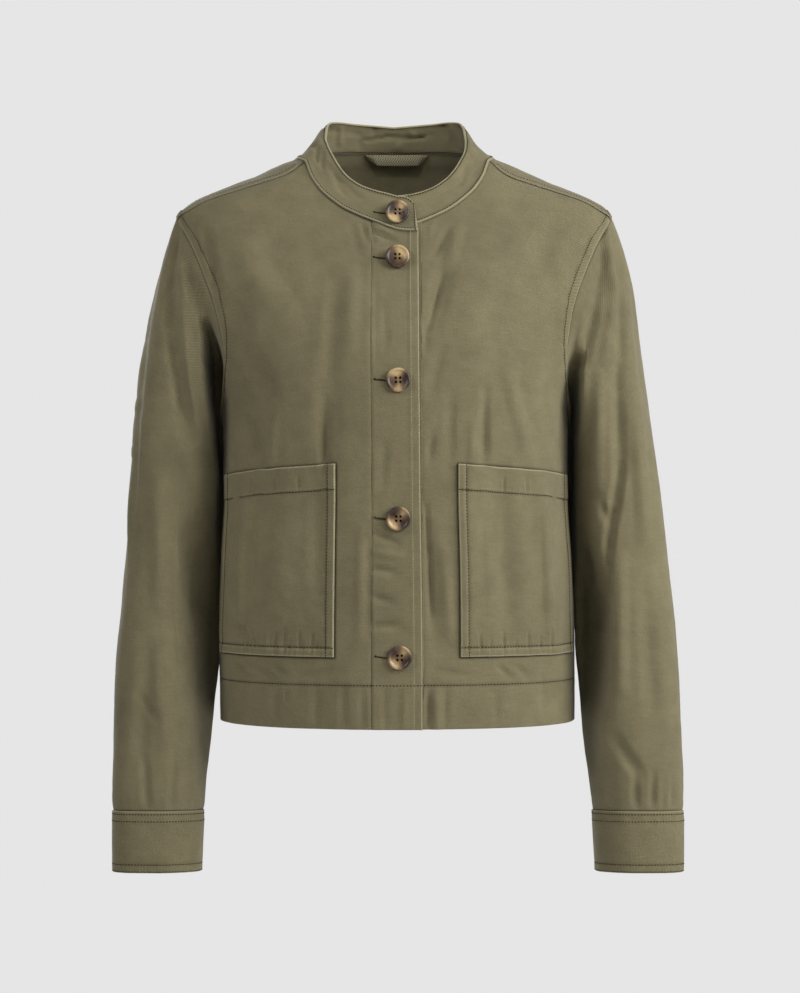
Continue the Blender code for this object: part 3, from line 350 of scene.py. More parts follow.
SLEEVE_BACK_FOLDS = folds(
    right=(
        (2050, -1100, 1960, -2500, 140, -50), (2400, -3500, 2050, -4200, 160, -40),
        (2200, -1200, 2220, -2500, 120, 24), (2340, -3100, 2000, -3450, 120, -26),
        (2360, -4000, 2120, -4600, 120, -22), (2050, -4500, 2080, -5600, 130, -20),
        (1900, -1300, 1840, -2300, 100, 22),
    ),
    left=(
        (2070, -1050, 1980, -2400, 140, -50), (2380, -3700, 2080, -4400, 160, -40),
        (2220, -1250, 2260, -2400, 120, 24), (2400, -3300, 2060, -3620, 110, -26),
        (2320, -4250, 2060, -4800, 120, -20), (2260, -4800, 2300, -5800, 120, -18),
        (1920, -1200, 1860, -2200, 100, 22),
    ),
)
# How the collar's top edge differs on the wearer's right, by the folded angle: how far in, how far up, and
# how far the band rolls out below it.
COLLAR_SIDE = (
    (0, 0, 0, 0), (15, 0, 0.001, 0), (31.6, 0, 0.0022, 0), (48.8, 0.0006, 0.0022, 0.001),
    (70, 0.002, 0.0012, 0.003), (90, 0.0031, 0, 0.0044), (105, 0.0022, 0, 0.0034), (120, 0.0006, 0, 0.001),
    (135, 0, 0, 0), (180, 0, 0, 0),
)
LEFT_BULGE_SHARE = 0.45
# The collar's creases, by the angle round the neck (left front 0, left 90, back 180, right 270) and the
# share of its height. Half the width, at half the crease's height, is in degrees.
CollarFold = namedtuple("CollarFold", "angle0 share0 angle1 share1 half_width height")
COLLAR_FOLDS = rows_of(CollarFold, (
    (284, 0.3, 292, 0.66, 3, -0.0026), (290, 0.6, 309, 0.58, 3, -0.0018),
    (306, 0.66, 318, 0.4, 3.4, -0.003), (314, 0.74, 328, 0.48, 2.6, -0.0024),
    (330, 0.68, 339, 0.7, 2.6, -0.0018), (338, 0.74, 344, 0.42, 2.4, -0.0024),
    (342, 0.78, 347.5, 0.55, 2.2, -0.0018), (40, 0.75, 32, 0.35, 5, -0.0008),
    (20, 0.6, 16, 0.3, 4, -0.0007), (204, 0.48, 186, 0.63, 2.4, 0.0021),
    (184, 0.64, 158, 0.58, 2.4, 0.0021), (158, 0.6, 150, 0.64, 2.2, 0.0019),
    (238, 0.73, 210, 0.7, 2.4, 0.0019), (226, 0.86, 225, 0.35, 2.2, -0.0019),
    (196, 0.9, 197, 0.72, 2.2, 0.0014), (166, 0.86, 165, 0.66, 2, -0.0013),
    (138, 0.9, 136, 0.55, 2.4, 0.0018), (130, 0.9, 132, 0.5, 2.4, -0.0016),
    (207, 0.4, 208, 0.2, 2.4, 0.0014), (176, 0.4, 178, 0.2, 2.4, -0.0013),
    (118, 0.3, 124, 0.85, 5, -0.0016), (242, 0.3, 238, 0.8, 3.6, 0.0016), (62, 0.7, 50, 0.4, 4, -0.0008),
    (30, 0.74, 22, 0.5, 3, -0.0012), (18, 0.7, 12, 0.45, 3, -0.0009),
))
COLLAR_FOLD_SCALE = 60.0                    # degrees that count as much as the collar's whole height

# ------------------------------------------------------------------ colours, as shown in daylight
TWILL = (0.1635, 0.1425, 0.0785)
# The pale twill colour is a painted highlight; the dark one draws the weave's lines and painted shade.
TWILL_HIGHLIGHT = (0.310, 0.282, 0.172)
TWILL_WEAVE_AND_SHADE = (0.030, 0.025, 0.014)
# A near-black thread: its colour carries the painted shade of the needle holes and stitch gaps.
THREAD_DARK = (0.021, 0.017, 0.008)
THREAD_LIGHT = (0.400, 0.365, 0.245)
TWILL_PITCH = 0.0016
TWILL_ANGLE = 49.0
# Dark horn to tan; the tan mostly shows the painted reflection.
HORN_AND_SHEEN_COLOURS = ((0.14, (0.034, 0.021, 0.016)), (0.50, (0.150, 0.096, 0.052)), (0.86, (0.480, 0.345, 0.180)))
HORN_GRAIN = (0.070, 0.042, 0.028)
TAPE_DARK = (0.034, 0.029, 0.016)
TAPE_LIGHT = (0.262, 0.236, 0.146)
# The tape's edge colour is a painted highlight.
TAPE_HIGHLIGHT = (0.300, 0.272, 0.178)
HERRINGBONE_PITCH = 0.0024
HERRINGBONE_BAND = 0.0028


# ------------------------------------------------------------------ curves and tables
def through_rows(knots, values):
    """Return a smooth function through a table's rows that never overshoots them."""
    knots = np.asarray(knots, float)
    values = np.asarray(values, float)
    if knots[0] > knots[-1]:
        knots, values = knots[::-1], values[::-1]
    steps = np.diff(knots)
    slopes = np.diff(values) / steps
    tangents = np.concatenate([slopes[:1], np.zeros(len(slopes) - 1), slopes[-1:]])
    for row in range(1, len(slopes)):
        before, after = slopes[row - 1], slopes[row]
        if before * after > 0:
            weight_before = steps[row - 1] + 2 * steps[row]
            weight_after = 2 * steps[row - 1] + steps[row]
            total = weight_before + weight_after
            tangents[row] = total / (weight_before / before + weight_after / after)

    def value(at):
        at = np.clip(at, knots[0], knots[-1])
        row = np.clip(np.searchsorted(knots, at, side="right") - 1, 0, len(steps) - 1)
        t = (at - knots[row]) / steps[row]
        start = (1 + 2 * t) * (1 - t) ** 2 * values[row] + t * (1 - t) ** 2 * steps[row] * tangents[row]
        end = t * t * (3 - 2 * t) * values[row + 1] + t * t * (t - 1) * steps[row] * tangents[row + 1]
        return start + end

    return value


def curves(rows):
    """One smooth function for each further column of a table, by its first column."""
    knots, *columns = zip(*rows)
    return [through_rows(knots, values) for values in columns]


def unit(vectors):
    return vectors / np.maximum(np.linalg.norm(vectors, axis=-1, keepdims=True), 1e-12)


def smooth_step(t):
    t = np.clip(t, 0.0, 1.0)
    return t * t * (3 - 2 * t)


def lengths_along(points):
    """Distances along the first axis, from its start."""
    steps = np.linalg.norm(np.diff(points, axis=0), axis=-1)
    return np.concatenate([np.zeros((1,) + steps.shape[1:]), np.cumsum(steps, axis=0)])


def read_at(wanted, knots, points):
    """Points between those of a curve, at wanted values of its knots."""
    return np.stack([np.interp(wanted, knots, points[:, axis]) for axis in range(3)], axis=-1)


def along(curve, shares):
    """Points at some shares of a finely drawn curve's length."""
    lengths = lengths_along(curve)
    return read_at(np.asarray(shares) * lengths[-1], lengths, curve)


def mirrored(points, side):
    return points * np.array([side, 1.0, 1.0])


def filled(steps, size):
    """Fractional places that cut each step, of the given length, into equal cells no longer than the size."""
    places = [0.0]
    for index, step in enumerate(steps):
        cells = max(1, math.ceil(step / size))
        places += [index + (cell + 1) / cells for cell in range(cells)]
    return np.array(places)


def between(values, places):
    """Smooth values at fractional places along the first axis."""
    padded = np.concatenate([[2 * values[0] - values[1]], values, [2 * values[-1] - values[-2]]])
    row = np.clip(np.floor(places).astype(int), 0, len(values) - 2)
    t = (places - row).reshape((-1,) + (1,) * (values.ndim - 1))
    p0, p1, p2, p3 = (padded[row + k] for k in range(4))
    return 0.5 * (2 * p1 + (p2 - p0) * t + (2 * p0 - 5 * p1 + 4 * p2 - p3) * t * t
                  + (3 * p1 - p0 - 3 * p2 + p3) * t ** 3)


# ------------------------------------------------------------------ the body's form
torso_width, torso_front, torso_back = curves(TORSO)
neck_height, = curves(NECKLINE)


def rounded_box_radius(angle, power):
    return (np.abs(np.sin(angle)) ** power + np.abs(np.cos(angle)) ** power) ** (-1.0 / power)


def torso_point(degrees, height):
    """The form's point at an angle round it (0 front, 90 side, 180 back) and a height."""
    degrees, height = np.broadcast_arrays(np.asarray(degrees, float), np.asarray(height, float))
    angle = np.radians(degrees)
    radius = rounded_box_radius(angle, TORSO_POWER)
    depth = np.where(np.cos(angle) > 0, torso_front(height), torso_back(height))
    x = torso_width(height) * radius * np.sin(angle)
    return np.stack([x, -depth * radius * np.cos(angle), height], axis=-1)


def front_point(x, height):
    """The form's front at a distance from the centre line and a height."""
    x, height = np.broadcast_arrays(np.asarray(x, float), np.asarray(height, float))
    share = np.abs(x / torso_width(height)) ** TORSO_POWER
    return np.stack([x, -torso_front(height) * (1 - share) ** (1 / TORSO_POWER), height], axis=-1)


def front_angle(x, height):
    share = np.abs(x / torso_width(height)) ** TORSO_POWER
    return np.degrees(np.arctan((share / (1 - share)) ** (1 / TORSO_POWER)))


def form_value(points):
    """Zero on the form, negative inside it."""
    x, y, z = points[..., 0], points[..., 1], points[..., 2]
    depth = np.where(y < 0, torso_front(z), torso_back(z))
    return np.abs(x / torso_width(z)) ** TORSO_POWER + np.abs(y / depth) ** TORSO_POWER - 1


def form_gradient(points):
    step = 1e-5
    slopes = []
    for axis in np.eye(3):
        slopes.append((form_value(points + step * axis) - form_value(points - step * axis)) / (2 * step))
    return np.stack(slopes, axis=-1)


def on_form(points):
    """Move points onto the form along its own slope."""
    for _ in range(4):
        gradient = form_gradient(points)
        size = np.maximum((gradient ** 2).sum(-1, keepdims=True), 1e-9)
        points = points - form_value(points)[..., None] * gradient / size
    return points


def form_normal(points):
    return unit(form_gradient(points))


def form_angle(points):
    """The angle round the form of some points, 0 at the front and 180 at the back of either side."""
    x, y, z = points[..., 0], points[..., 1], points[..., 2]
    depth = np.where(y < 0, torso_front(z), torso_back(z))
    return np.degrees(np.arctan2(np.abs(x) / torso_width(z), -y / depth))


def neckline(start, end, samples=400):
    angles = np.linspace(start, end, samples)
    return torso_point(angles, neck_height(angles))


def armhole_point(degrees):
    """The armhole seam by its own angle: 0 at the top, 90 at the front, 180 under the arm."""
    turn = np.radians(degrees)
    return torso_point(90 - ARMHOLE_ANGLE * np.sin(turn), ARMHOLE_MID_Z + ARMHOLE_HALF_HEIGHT * np.cos(turn))


def shoulder_seam():
    """From the neckline to the shoulder point."""
    turn = math.radians(SHOULDER_POINT)
    tip_angle = 90 - ARMHOLE_ANGLE * math.sin(turn)
    tip_height = ARMHOLE_MID_Z + ARMHOLE_HALF_HEIGHT * math.cos(turn)
    neck_end = (0.0, NECK_SEAM_ANGLE, float(neck_height(NECK_SEAM_ANGLE)))
    share = np.linspace(0.0, 1.0, 400)
    rows = (neck_end, *SHOULDER_SEAM, (1.0, tip_angle, tip_height))
    angle, height = (curve(share) for curve in curves(rows))
    return torso_point(angle, height)


def lap_lift(x):
    """How far the right front rises towards its band, by the distance from the centre line."""
    return LAP_LIFT * smooth_step(1 - (np.abs(x) - PLACKET_SEAM) / LAP_BLEND)


def lap_drop(x):
    """How much lower the upper front's neck seam runs, by the distance from the centre to its free end."""
    return LAP_DROP * np.clip((x - LAP_DROP_START) / LAP_DROP_SPAN, 0.0, 1.0) ** 1.35


# ------------------------------------------------------------------ folds, waves and puckers
def bump(away, width):
    """One at zero, falling smoothly to nothing at the width."""
    return np.cos(np.clip(np.abs(away) / width, 0.0, 1.0) * math.pi / 2) ** 2


def bumps(*rows):
    """A sum of bumps, from rows of strength, distances and width."""
    return sum(strength * bump(away, width) for strength, away, width in rows)


def from_line(across, up, start, end):
    """Each point's share of the way along a straight line, and its distance from it, in flat coordinates."""
    run_across, run_up = end[0] - start[0], end[1] - start[1]
    place = ((across - start[0]) * run_across + (up - start[1]) * run_up) / (run_across ** 2 + run_up ** 2)
    place = np.clip(place, 0.0, 1.0)
    return place, np.hypot(across - start[0] - place * run_across, up - start[1] - place * run_up)


def fold_heights(points, folds_by_side, side):
    """Sum of the folds at some points, as seen along Y. A fold fades to nothing at its half width."""
    total = np.zeros(points.shape[:-1])
    for fold in folds_by_side[side]:
        place, away = from_line(points[..., 0], points[..., 2], (fold.x0, fold.z0), (fold.x1, fold.z1))
        total += fold.height * bump(away, fold.half_width) * (0.4 + 0.6 * (1 - (2 * place - 1) ** 2))
    return total


NOISE_SIZE = 48
NOISE = np.random.default_rng(11).uniform(-1.0, 1.0, (NOISE_SIZE, NOISE_SIZE, NOISE_SIZE))


def waves(points, wavelength, seed=0.0):
    """Smooth wandering values from -1 to 1 through space."""
    at = points / (wavelength / 2) + 17.0 + 5.3 * seed
    cell = np.floor(at).astype(int)
    t = smooth_step(at - cell)
    total = np.zeros(points.shape[:-1])
    for corner in range(8):
        offset = np.array([corner & 1, corner >> 1 & 1, corner >> 2])
        weight = np.prod(np.where(offset, t, 1 - t), axis=-1)
        index = (cell + offset) % NOISE_SIZE
        total += weight * NOISE[index[..., 0], index[..., 1], index[..., 2]]
    return total


def drape(points):
    """The cloth's slight unevenness: long soft waves and short faint ones."""
    stretched = points * np.array([1.0, 1.0, 0.55])
    return (0.0011 * waves(stretched, 0.085) + 0.00055 * waves(stretched, 0.040, 1.0)
            + 0.00016 * waves(points, 0.014, 2.0))


def pucker(place, away, seed, reach=0.009, height=0.00045):
    """Small gathers along a stitched line, by the place along it and the distance from it."""
    at = np.stack([place, np.zeros_like(place) + 0.013 * seed, np.zeros_like(place)], axis=-1)
    return height * waves(at, 0.0095, seed) * np.exp(-(away / reach) ** 2)


# ------------------------------------------------------------------ grids of points
def blend_edges(bottom, top, left, right):
    """Fill a grid (columns, rows) from its four edges."""
    u = np.linspace(0, 1, len(bottom))[:, None, None]
    v = np.linspace(0, 1, len(left))[None, :, None]
    by_rows = (1 - v) * bottom[:, None] + v * top[:, None]
    by_columns = (1 - u) * left[None] + u * right[None]
    corners = (1 - u) * ((1 - v) * bottom[0] + v * top[0]) + u * ((1 - v) * bottom[-1] + v * top[-1])
    return by_rows + by_columns - corners


def evened(grid):
    """Even out a grid's cells on the form, with its edges held."""
    for _ in range(EVENING_STEPS):
        around = grid[:-2, 1:-1] + grid[2:, 1:-1] + grid[1:-1, :-2] + grid[1:-1, 2:]
        grid[1:-1, 1:-1] = on_form(around / 4)
    return grid


def lower_stops():
    """Heights from the hem to the underarm, at the front edge."""
    hem = [HEM_Z, HEM_Z + HEM_FOLD / 2, HEM_Z + HEM_FOLD]
    pocket = np.linspace(POCKET_BOTTOM_Z, POCKET_TOP_Z, POCKET_ROWS + 1)
    waist = np.linspace(POCKET_TOP_Z, UNDERARM_Z, WAIST_ROWS + 1)[1:]
    return np.concatenate([hem, pocket, waist])


def slanted(heights, angles):
    """Rows lowered towards the side, most at the pocket's top. The result is (columns, rows)."""
    weight = np.interp(heights, [POCKET_BOTTOM_Z, POCKET_TOP_Z, UNDERARM_Z], [0.0, 1.0, 0.0])
    towards_side = (angles - POCKET_INNER_ANGLE) / (POCKET_OUTER_ANGLE - POCKET_INNER_ANGLE)
    return heights[None, :] - POCKET_SLANT * np.clip(towards_side, 0, 1.1)[:, None] * weight[None, :]


def with_upper_part(lower, columns, rough_bottom, neck_columns, neck, first, arm):
    """Add the part above the underarm: evened on a coarse grid, then drawn finely between exact edges."""
    def edges(at_columns, at_rows):
        on_neck = at_columns[at_columns <= neck_columns] / neck_columns
        on_shoulder = (at_columns[at_columns > neck_columns] - neck_columns) / SHOULDER_COLUMNS
        top = np.concatenate([along(neck, on_neck), along(shoulder_seam(), on_shoulder)])
        return top, along(first, at_rows / ARMHOLE_ROWS), along(arm, at_rows / ARMHOLE_ROWS)

    coarse = edges(np.arange(len(rough_bottom)), np.arange(ARMHOLE_ROWS + 1))
    rough = evened(blend_edges(rough_bottom, *coarse))
    rows = filled([lengths_along(arm)[-1] / ARMHOLE_ROWS] * ARMHOLE_ROWS, CELL)
    fine = between(np.swapaxes(between(rough, columns), 0, 1), rows)
    fine = on_form(np.swapaxes(fine, 0, 1))
    top, left, right = edges(columns, rows)
    fine = fine + blend_edges(lower[:, -1] - fine[:, 0], top - fine[:, -1], left - fine[0], right - fine[-1])
    fine[1:-1, 1:-1] = on_form(fine[1:-1, 1:-1])
    return np.concatenate([lower, fine[:, 1:]], axis=1)


def divided(rough_angles):
    """A panel's fine columns with their angles, and its lower rows with their heights at the front edge."""
    stops = lower_stops()
    widths = np.linalg.norm(np.diff(torso_point(rough_angles, MIDDLE_Z), axis=0), axis=1)
    columns, rows = filled(widths, CELL), filled(np.diff(stops), CELL)
    angles = np.interp(columns, np.arange(len(rough_angles)), rough_angles)
    return columns, angles, rows, np.interp(rows, np.arange(len(stops)), stops)


def front_grid():
    """The left front, from the band seam to the side seam and from the hem to the neckline and shoulder."""
    first = float(front_angle(PLACKET_SEAM, UNDERARM_Z))
    stops = (first, POCKET_INNER_ANGLE, POCKET_OUTER_ANGLE, 90.0)
    runs = [np.linspace(a, b, cells + 1)[1:] for a, b, cells in zip(stops, stops[1:], FRONT_COLUMNS)]
    rough_angles = np.concatenate([[first]] + runs)
    columns, angles, lower_rows, levels = divided(rough_angles)
    heights = slanted(levels, angles)
    lower = torso_point(angles[:, None], heights)
    lower[0] = front_point(PLACKET_SEAM, heights[0])

    neck_curve = neckline(0, NECK_SEAM_ANGLE)
    first_height = np.interp(PLACKET_SEAM, neck_curve[:, 0], neck_curve[:, 2])
    beyond_band = neck_curve[:, 0] > PLACKET_SEAM
    neck_curve = np.concatenate([front_point(PLACKET_SEAM, first_height)[None], neck_curve[beyond_band]])
    band_curve = front_point(PLACKET_SEAM, np.linspace(UNDERARM_Z, first_height, 200))
    arm_curve = armhole_point(np.linspace(180, SHOULDER_POINT, 400))
    rough_bottom = torso_point(rough_angles, slanted(np.array([UNDERARM_Z]), rough_angles)[:, 0])
    rough_bottom[0] = front_point(PLACKET_SEAM, UNDERARM_Z)
    grid = with_upper_part(lower, columns, rough_bottom, NECK_COLUMNS, neck_curve, band_curve, arm_curve)

    inner, outer = np.searchsorted(columns, (FRONT_COLUMNS[0], FRONT_COLUMNS[0] + FRONT_COLUMNS[1]))
    low, high = np.searchsorted(lower_rows, POCKET_STOPS)
    for axis, index, towards in ((0, outer, 1), (0, inner, -1), (1, high, 1), (1, low, -1)):
        grid = with_lines_beside(grid, axis, index, towards, BORDER_LINES)
    return grid


def back_half_grid():
    """The left half of the back, from the centre line to the side seam, armhole and shoulder seam."""
    count = BACK_NECK_COLUMNS + SHOULDER_COLUMNS
    rough_angles = np.linspace(180, 90, count + 1)
    columns, angles, _, levels = divided(rough_angles)
    share = (columns / count)[:, None]
    lower = torso_point(angles[:, None], (1 - share) * levels + share * slanted(levels, np.array([90.0]))[0])

    neck = neckline(180, NECK_SEAM_ANGLE)
    centre = torso_point(180.0, np.linspace(UNDERARM_Z, neck[0, 2], 200))
    arm = armhole_point(np.linspace(180, 360 + SHOULDER_POINT, 400))
    rough_bottom = torso_point(rough_angles, UNDERARM_Z)
    return with_upper_part(lower, columns, rough_bottom, BACK_NECK_COLUMNS, neck, centre, arm)


def with_lines_beside(grid, axis, index, towards, distances):
    """Add grid lines at set distances from one line, on the side of lower (-1) or higher (+1) indices."""
    work = np.moveaxis(grid, axis, 0)
    step = work[index + towards] - work[index]
    size = np.linalg.norm(step, axis=-1, keepdims=True)
    kept = [distance for distance in distances if distance < 0.75 * size.min()]
    if not kept:
        return grid
    lines = np.array([work[index] + step * distance / size for distance in kept])
    if towards > 0:
        work = np.concatenate([work[:index + 1], lines, work[index + 1:]])
    else:
        work = np.concatenate([work[:index], lines[::-1], work[index:]])
    return np.moveaxis(work, 0, axis)


def with_edge_lines(grid, edges, distances=EDGE_LINES):
    """Add grid lines at set distances from some edges: first or last column, bottom or top row."""
    for edge in edges:
        index, towards = (-1, -1) if edge in ("last", "top") else (0, 1)
        grid = with_lines_beside(grid, int(edge in ("bottom", "top")), index, towards, distances)
    return grid


def finer(grid):
    """Halve a grid's cells."""
    for axis in (0, 1):
        work = np.moveaxis(grid, axis, 0)
        grid = np.moveaxis(between(work, np.arange(0.0, len(work) - 0.75, 0.5)), 0, axis)
    return grid


Away = namedtuple("Away", "first last bottom top")


def edge_distances(grid):
    """Distances along the grid from each edge."""
    across = lengths_along(grid)
    up = lengths_along(np.swapaxes(grid, 0, 1)).T
    return Away(across, across[-1:] - across, up, up[:, -1:] - up)


def closed_lengths(grid):
    """Distances round a closed grid's rings, from its first column back to it."""
    return lengths_along(np.concatenate([grid, grid[:1]]))


def grid_normals(grid, closed):
    """Unit normals of a grid (columns, rows), pointing away from the columns' middle line."""
    if closed:
        around = np.roll(grid, -1, axis=0) - np.roll(grid, 1, axis=0)
    else:
        around = np.gradient(grid, axis=0)
    normals = unit(np.cross(around, np.gradient(grid, axis=1)))
    outwards = grid - grid.mean(axis=0, keepdims=True)
    return normals * np.sign((normals * outwards).sum())


def patch_normals(grid):
    """Normals of a body patch, pointing out of the form."""
    normals = unit(np.cross(np.gradient(grid, axis=0), np.gradient(grid, axis=1)))
    return normals * np.sign((normals * form_normal(grid)).sum())


def slice_length(points):
    """Distance round the form from its centre front, at each point's own height."""
    arc = torso_point(form_angle(points)[..., None] * np.linspace(0.0, 1.0, 25), points[..., 2:])
    return np.linalg.norm(np.diff(arc, axis=-2), axis=-1).sum(-1)


# ------------------------------------------------------------------ sleeves
def ring_points(ring, degrees):
    """One ring of a sleeve or cuff: 0 at the outer side, 90 at the front, 180 at the body side."""
    turn = np.radians(degrees)
    corner = np.where(np.cos(turn) < 0, INNER_FRONT_POWER, OUTER_FRONT_POWER) * (np.sin(turn) > 0)
    radius = rounded_box_radius(turn, SLEEVE_POWER + corner * np.sin(2 * turn) ** 2)
    x = (ring.outer + ring.inner) / 2 + (ring.outer - ring.inner) / 2 * radius * np.cos(turn)
    middle = (ring.front + ring.back) / 2
    y = middle - (ring.back - ring.front) / 2 * radius * np.sin(turn)
    return np.stack([x, y, ring.height - ring.tilt * (y - middle)], axis=-1)


def rings_at(table, heights):
    """Rings between a table's rows."""
    columns = [curve(heights) for curve in curves(table)]
    return [Ring(*row) for row in zip(heights, *columns)]


def armhole_ring(cells):
    """Angles of points round the armhole, even along its front half and along its back half."""
    fine = np.linspace(SHOULDER_POINT, 360 + SHOULDER_POINT, 1441)
    curve = armhole_point(fine)
    under = np.argmin(np.abs(fine - 180))
    angles = []
    for part in (slice(0, under + 1), slice(under, None)):
        lengths = lengths_along(curve[part])
        angles.append(np.interp(np.linspace(0, lengths[-1], cells + 1)[:-1], lengths, fine[part]))
    return np.concatenate(angles)


def hollowed(grid, side, down):
    """The sleeve's front beside the body lies back in a deep crevice. Moves the grid's points along Y."""
    kept = 1.0
    for table in (CREVICES, SLOPES):
        edge, width, share = (curve(grid[..., 2]) for curve in curves(table[side]))
        kept = kept * (1 - share * smooth_step((edge - grid[..., 0]) / width))
    depth = np.maximum(CREVICE_FLOOR - grid[..., 1], 0.0)
    moved = grid.copy()
    moved[..., 1] += CREVICE_REACH * depth * (1 - kept) * smooth_step((down - 0.003) / 0.018)
    return moved


def rings_grid(table, angles):
    """A grid (round, down) of even rings over a table's height."""
    top, foot = table[0].height, table[-1].height
    levels = np.linspace(top, foot, 1 + math.ceil((top - foot) / CELL))
    return np.stack([ring_points(ring, angles) for ring in rings_at(table, levels)], axis=1)


def sleeve_grid(angles):
    """The left sleeve without folds, (round, down), from the armhole to the cuff."""
    start = armhole_point(angles)
    rings = rings_grid(SLEEVE, angles)
    first, second = (ring_points(ring, angles) for ring in SLEEVE[:2])
    chord = np.linalg.norm(rings[:, 0] - start, axis=-1, keepdims=True)
    highness = np.sqrt(np.clip((1 + np.cos(np.radians(angles))) / 2, 0, 1))
    lean = CAP_LEAN_UNDER + (CAP_LEAN_TOP - CAP_LEAN_UNDER) * highness
    leave = unit(np.stack([lean, np.zeros_like(lean), -np.ones_like(lean)], axis=-1)) * chord
    arrive = unit(second - first) * chord
    cap = []
    for t in np.linspace(0, 1, CAP_ROWS + 1)[:-1]:
        cap.append((1 + 2 * t) * (1 - t) ** 2 * start + t * (1 - t) ** 2 * leave
                   + t * t * (3 - 2 * t) * rings[:, 0] + t * t * (t - 1) * arrive)
    return np.concatenate([np.stack(cap, axis=1), rings], axis=1)


# ------------------------------------------------------------------ the pose in the photograph
LEAN_HEIGHTS = (-0.660, -0.530, -0.300, -0.100, 0.040)
LEAN_ACROSS = (0.0016, 0.0010, -0.0004, -0.0022, -0.0024)
WAIST_HEIGHTS = (-0.530, -0.450, -0.380, -0.320, -0.240, -0.160)
WAIST_WIDENING = (0.0008, 0.0020, 0.0000, -0.0024, -0.0022, 0.0000)
FRONT_HEIGHTS = (-0.533, -0.450, -0.340, -0.220, -0.100, -0.030)
FRONT_ACROSS = (0.0000, 0.0006, 0.0008, 0.0014, 0.0024, 0.0030)
SHOULDER_DROP = 0.0027
RIGHT_OUTLINE_TRIM = 0.0042

lean_across = through_rows(LEAN_HEIGHTS, LEAN_ACROSS)
waist_widening = through_rows(WAIST_HEIGHTS, WAIST_WIDENING)
front_across = through_rows(FRONT_HEIGHTS, FRONT_ACROSS)


def posed(points):
    """The garment leans a little, is a little narrower at the waist, and has slightly lower shoulders."""
    x, y, z = points[..., 0], points[..., 1], points[..., 2]
    size = np.abs(x)
    widening = waist_widening(z) * np.clip(size / 0.166, 0.0, 1.0) * (1 - smooth_step((size - 0.172) / 0.040))
    trim = RIGHT_OUTLINE_TRIM * smooth_step((x - 0.185) / 0.050) * np.exp(-((z + 0.215) / 0.085) ** 2)
    on_shoulder = smooth_step((size - 0.085) / 0.030) * (1 - smooth_step((size - 0.192) / 0.020))
    drop = SHOULDER_DROP * on_shoulder * smooth_step((z + 0.085) / 0.045)
    near_band = smooth_step(-y / 0.030) * (1 - smooth_step((size - 0.080) / 0.045))
    across = lean_across(z) + front_across(z) * near_band
    return np.stack([x + np.sign(x) * widening + across - trim, y, z - drop], axis=-1)


# ------------------------------------------------------------------ walls
def placed(name, data):
    """A new object in the scene."""
    thing = bpy.data.objects.new(name, data)
    bpy.context.scene.collection.objects.link(thing)
    return thing


def edge_depth(away, thickness):
    """How far each face of a wall draws in near a folded edge, so that the edge is round."""
    half = thickness / 2
    inward = np.clip(1 - away / half, 0.0, 1.0)
    return 0.85 * half * (1 - np.sqrt(1 - inward ** 2))


def two_faces(grid, heights, normals, thickness, rim, roundness):
    """The outer and inner face of a wall with its relief, both drawn in to a round edge at its rim."""
    raised = grid + heights[..., None] * normals
    depth = edge_depth(rim, roundness)[..., None] * normals
    return raised - depth, raised - thickness * normals + depth


def wall(name, faces, places, shade, material, side=1, closed=False, inner_shade_share=0.4):
    """A closed wall between an outer and an inner grid, with flat coordinates and painted highlight and shade
    along edges.
    """
    outer, inner = (mirrored(face, side) for face in faces)
    columns, rows = outer.shape[:2]
    spans = columns if closed else columns - 1
    last = rows - 1
    i, j = (a.ravel() for a in np.meshgrid(np.arange(spans), np.arange(last), indexing="ij"))
    i_all, j_all = np.arange(spans), np.arange(last)

    def face(*corners):
        return np.stack([np.stack(np.broadcast_arrays(*corner), axis=-1) for corner in corners], axis=1)

    quads = [
        face((i, j, 0), (i + 1, j, 0), (i + 1, j + 1, 0), (i, j + 1, 0)),
        face((i, j, 1), (i, j + 1, 1), (i + 1, j + 1, 1), (i + 1, j, 1)),
        face((i_all + 1, 0, 0), (i_all, 0, 0), (i_all, 0, 1), (i_all + 1, 0, 1)),
        face((i_all, last, 0), (i_all + 1, last, 0), (i_all + 1, last, 1), (i_all, last, 1)),
    ]
    if not closed:
        quads.append(face((0, j_all, 0), (0, j_all + 1, 0), (0, j_all + 1, 1), (0, j_all, 1)))
        quads.append(face((spans, j_all + 1, 0), (spans, j_all, 0), (spans, j_all, 1), (spans, j_all + 1, 1)))
    quads = np.concatenate(quads)
    across = outer[1, rows // 2] - outer[0, rows // 2]
    upward = outer[0, rows // 2 + 1] - outer[0, rows // 2]
    if np.cross(across, upward) @ (outer[0, rows // 2] - inner[0, rows // 2]) < 0:
        quads = quads[:, ::-1]
    index = quads[..., 2] * columns * rows + (quads[..., 0] % columns) * rows + quads[..., 1]

    mesh = bpy.data.meshes.new(name)
    points = posed(np.concatenate([outer.reshape(-1, 3), inner.reshape(-1, 3)]))
    mesh.from_pydata(points.tolist(), [], index.tolist())
    mesh.shade_smooth()
    flat = mesh.uv_layers.new(name="flat")
    flat.data.foreach_set("uv", places[quads[..., 0], quads[..., 1]].astype(np.float32).ravel())
    # The shade attribute is painted light: highlight where positive, shade where negative, less on the inner
    # face.
    tone = mesh.attributes.new("shade", "FLOAT", "POINT")
    tones = np.concatenate([shade.ravel(), inner_shade_share * shade.ravel()])
    tone.data.foreach_set("value", tones.astype(np.float32))
    mesh.materials.append(material)
    return placed(name, mesh)


def cloth_piece(thing, node):
    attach(thing, "root")
    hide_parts(node)


# ------------------------------------------------------------------ stitches
Surface = namedtuple("Surface", "outer normals away")


def surface_of(outer, normals):
    """A finished face that lines of stitches lie on."""
    return Surface(outer, normals, edge_distances(outer))


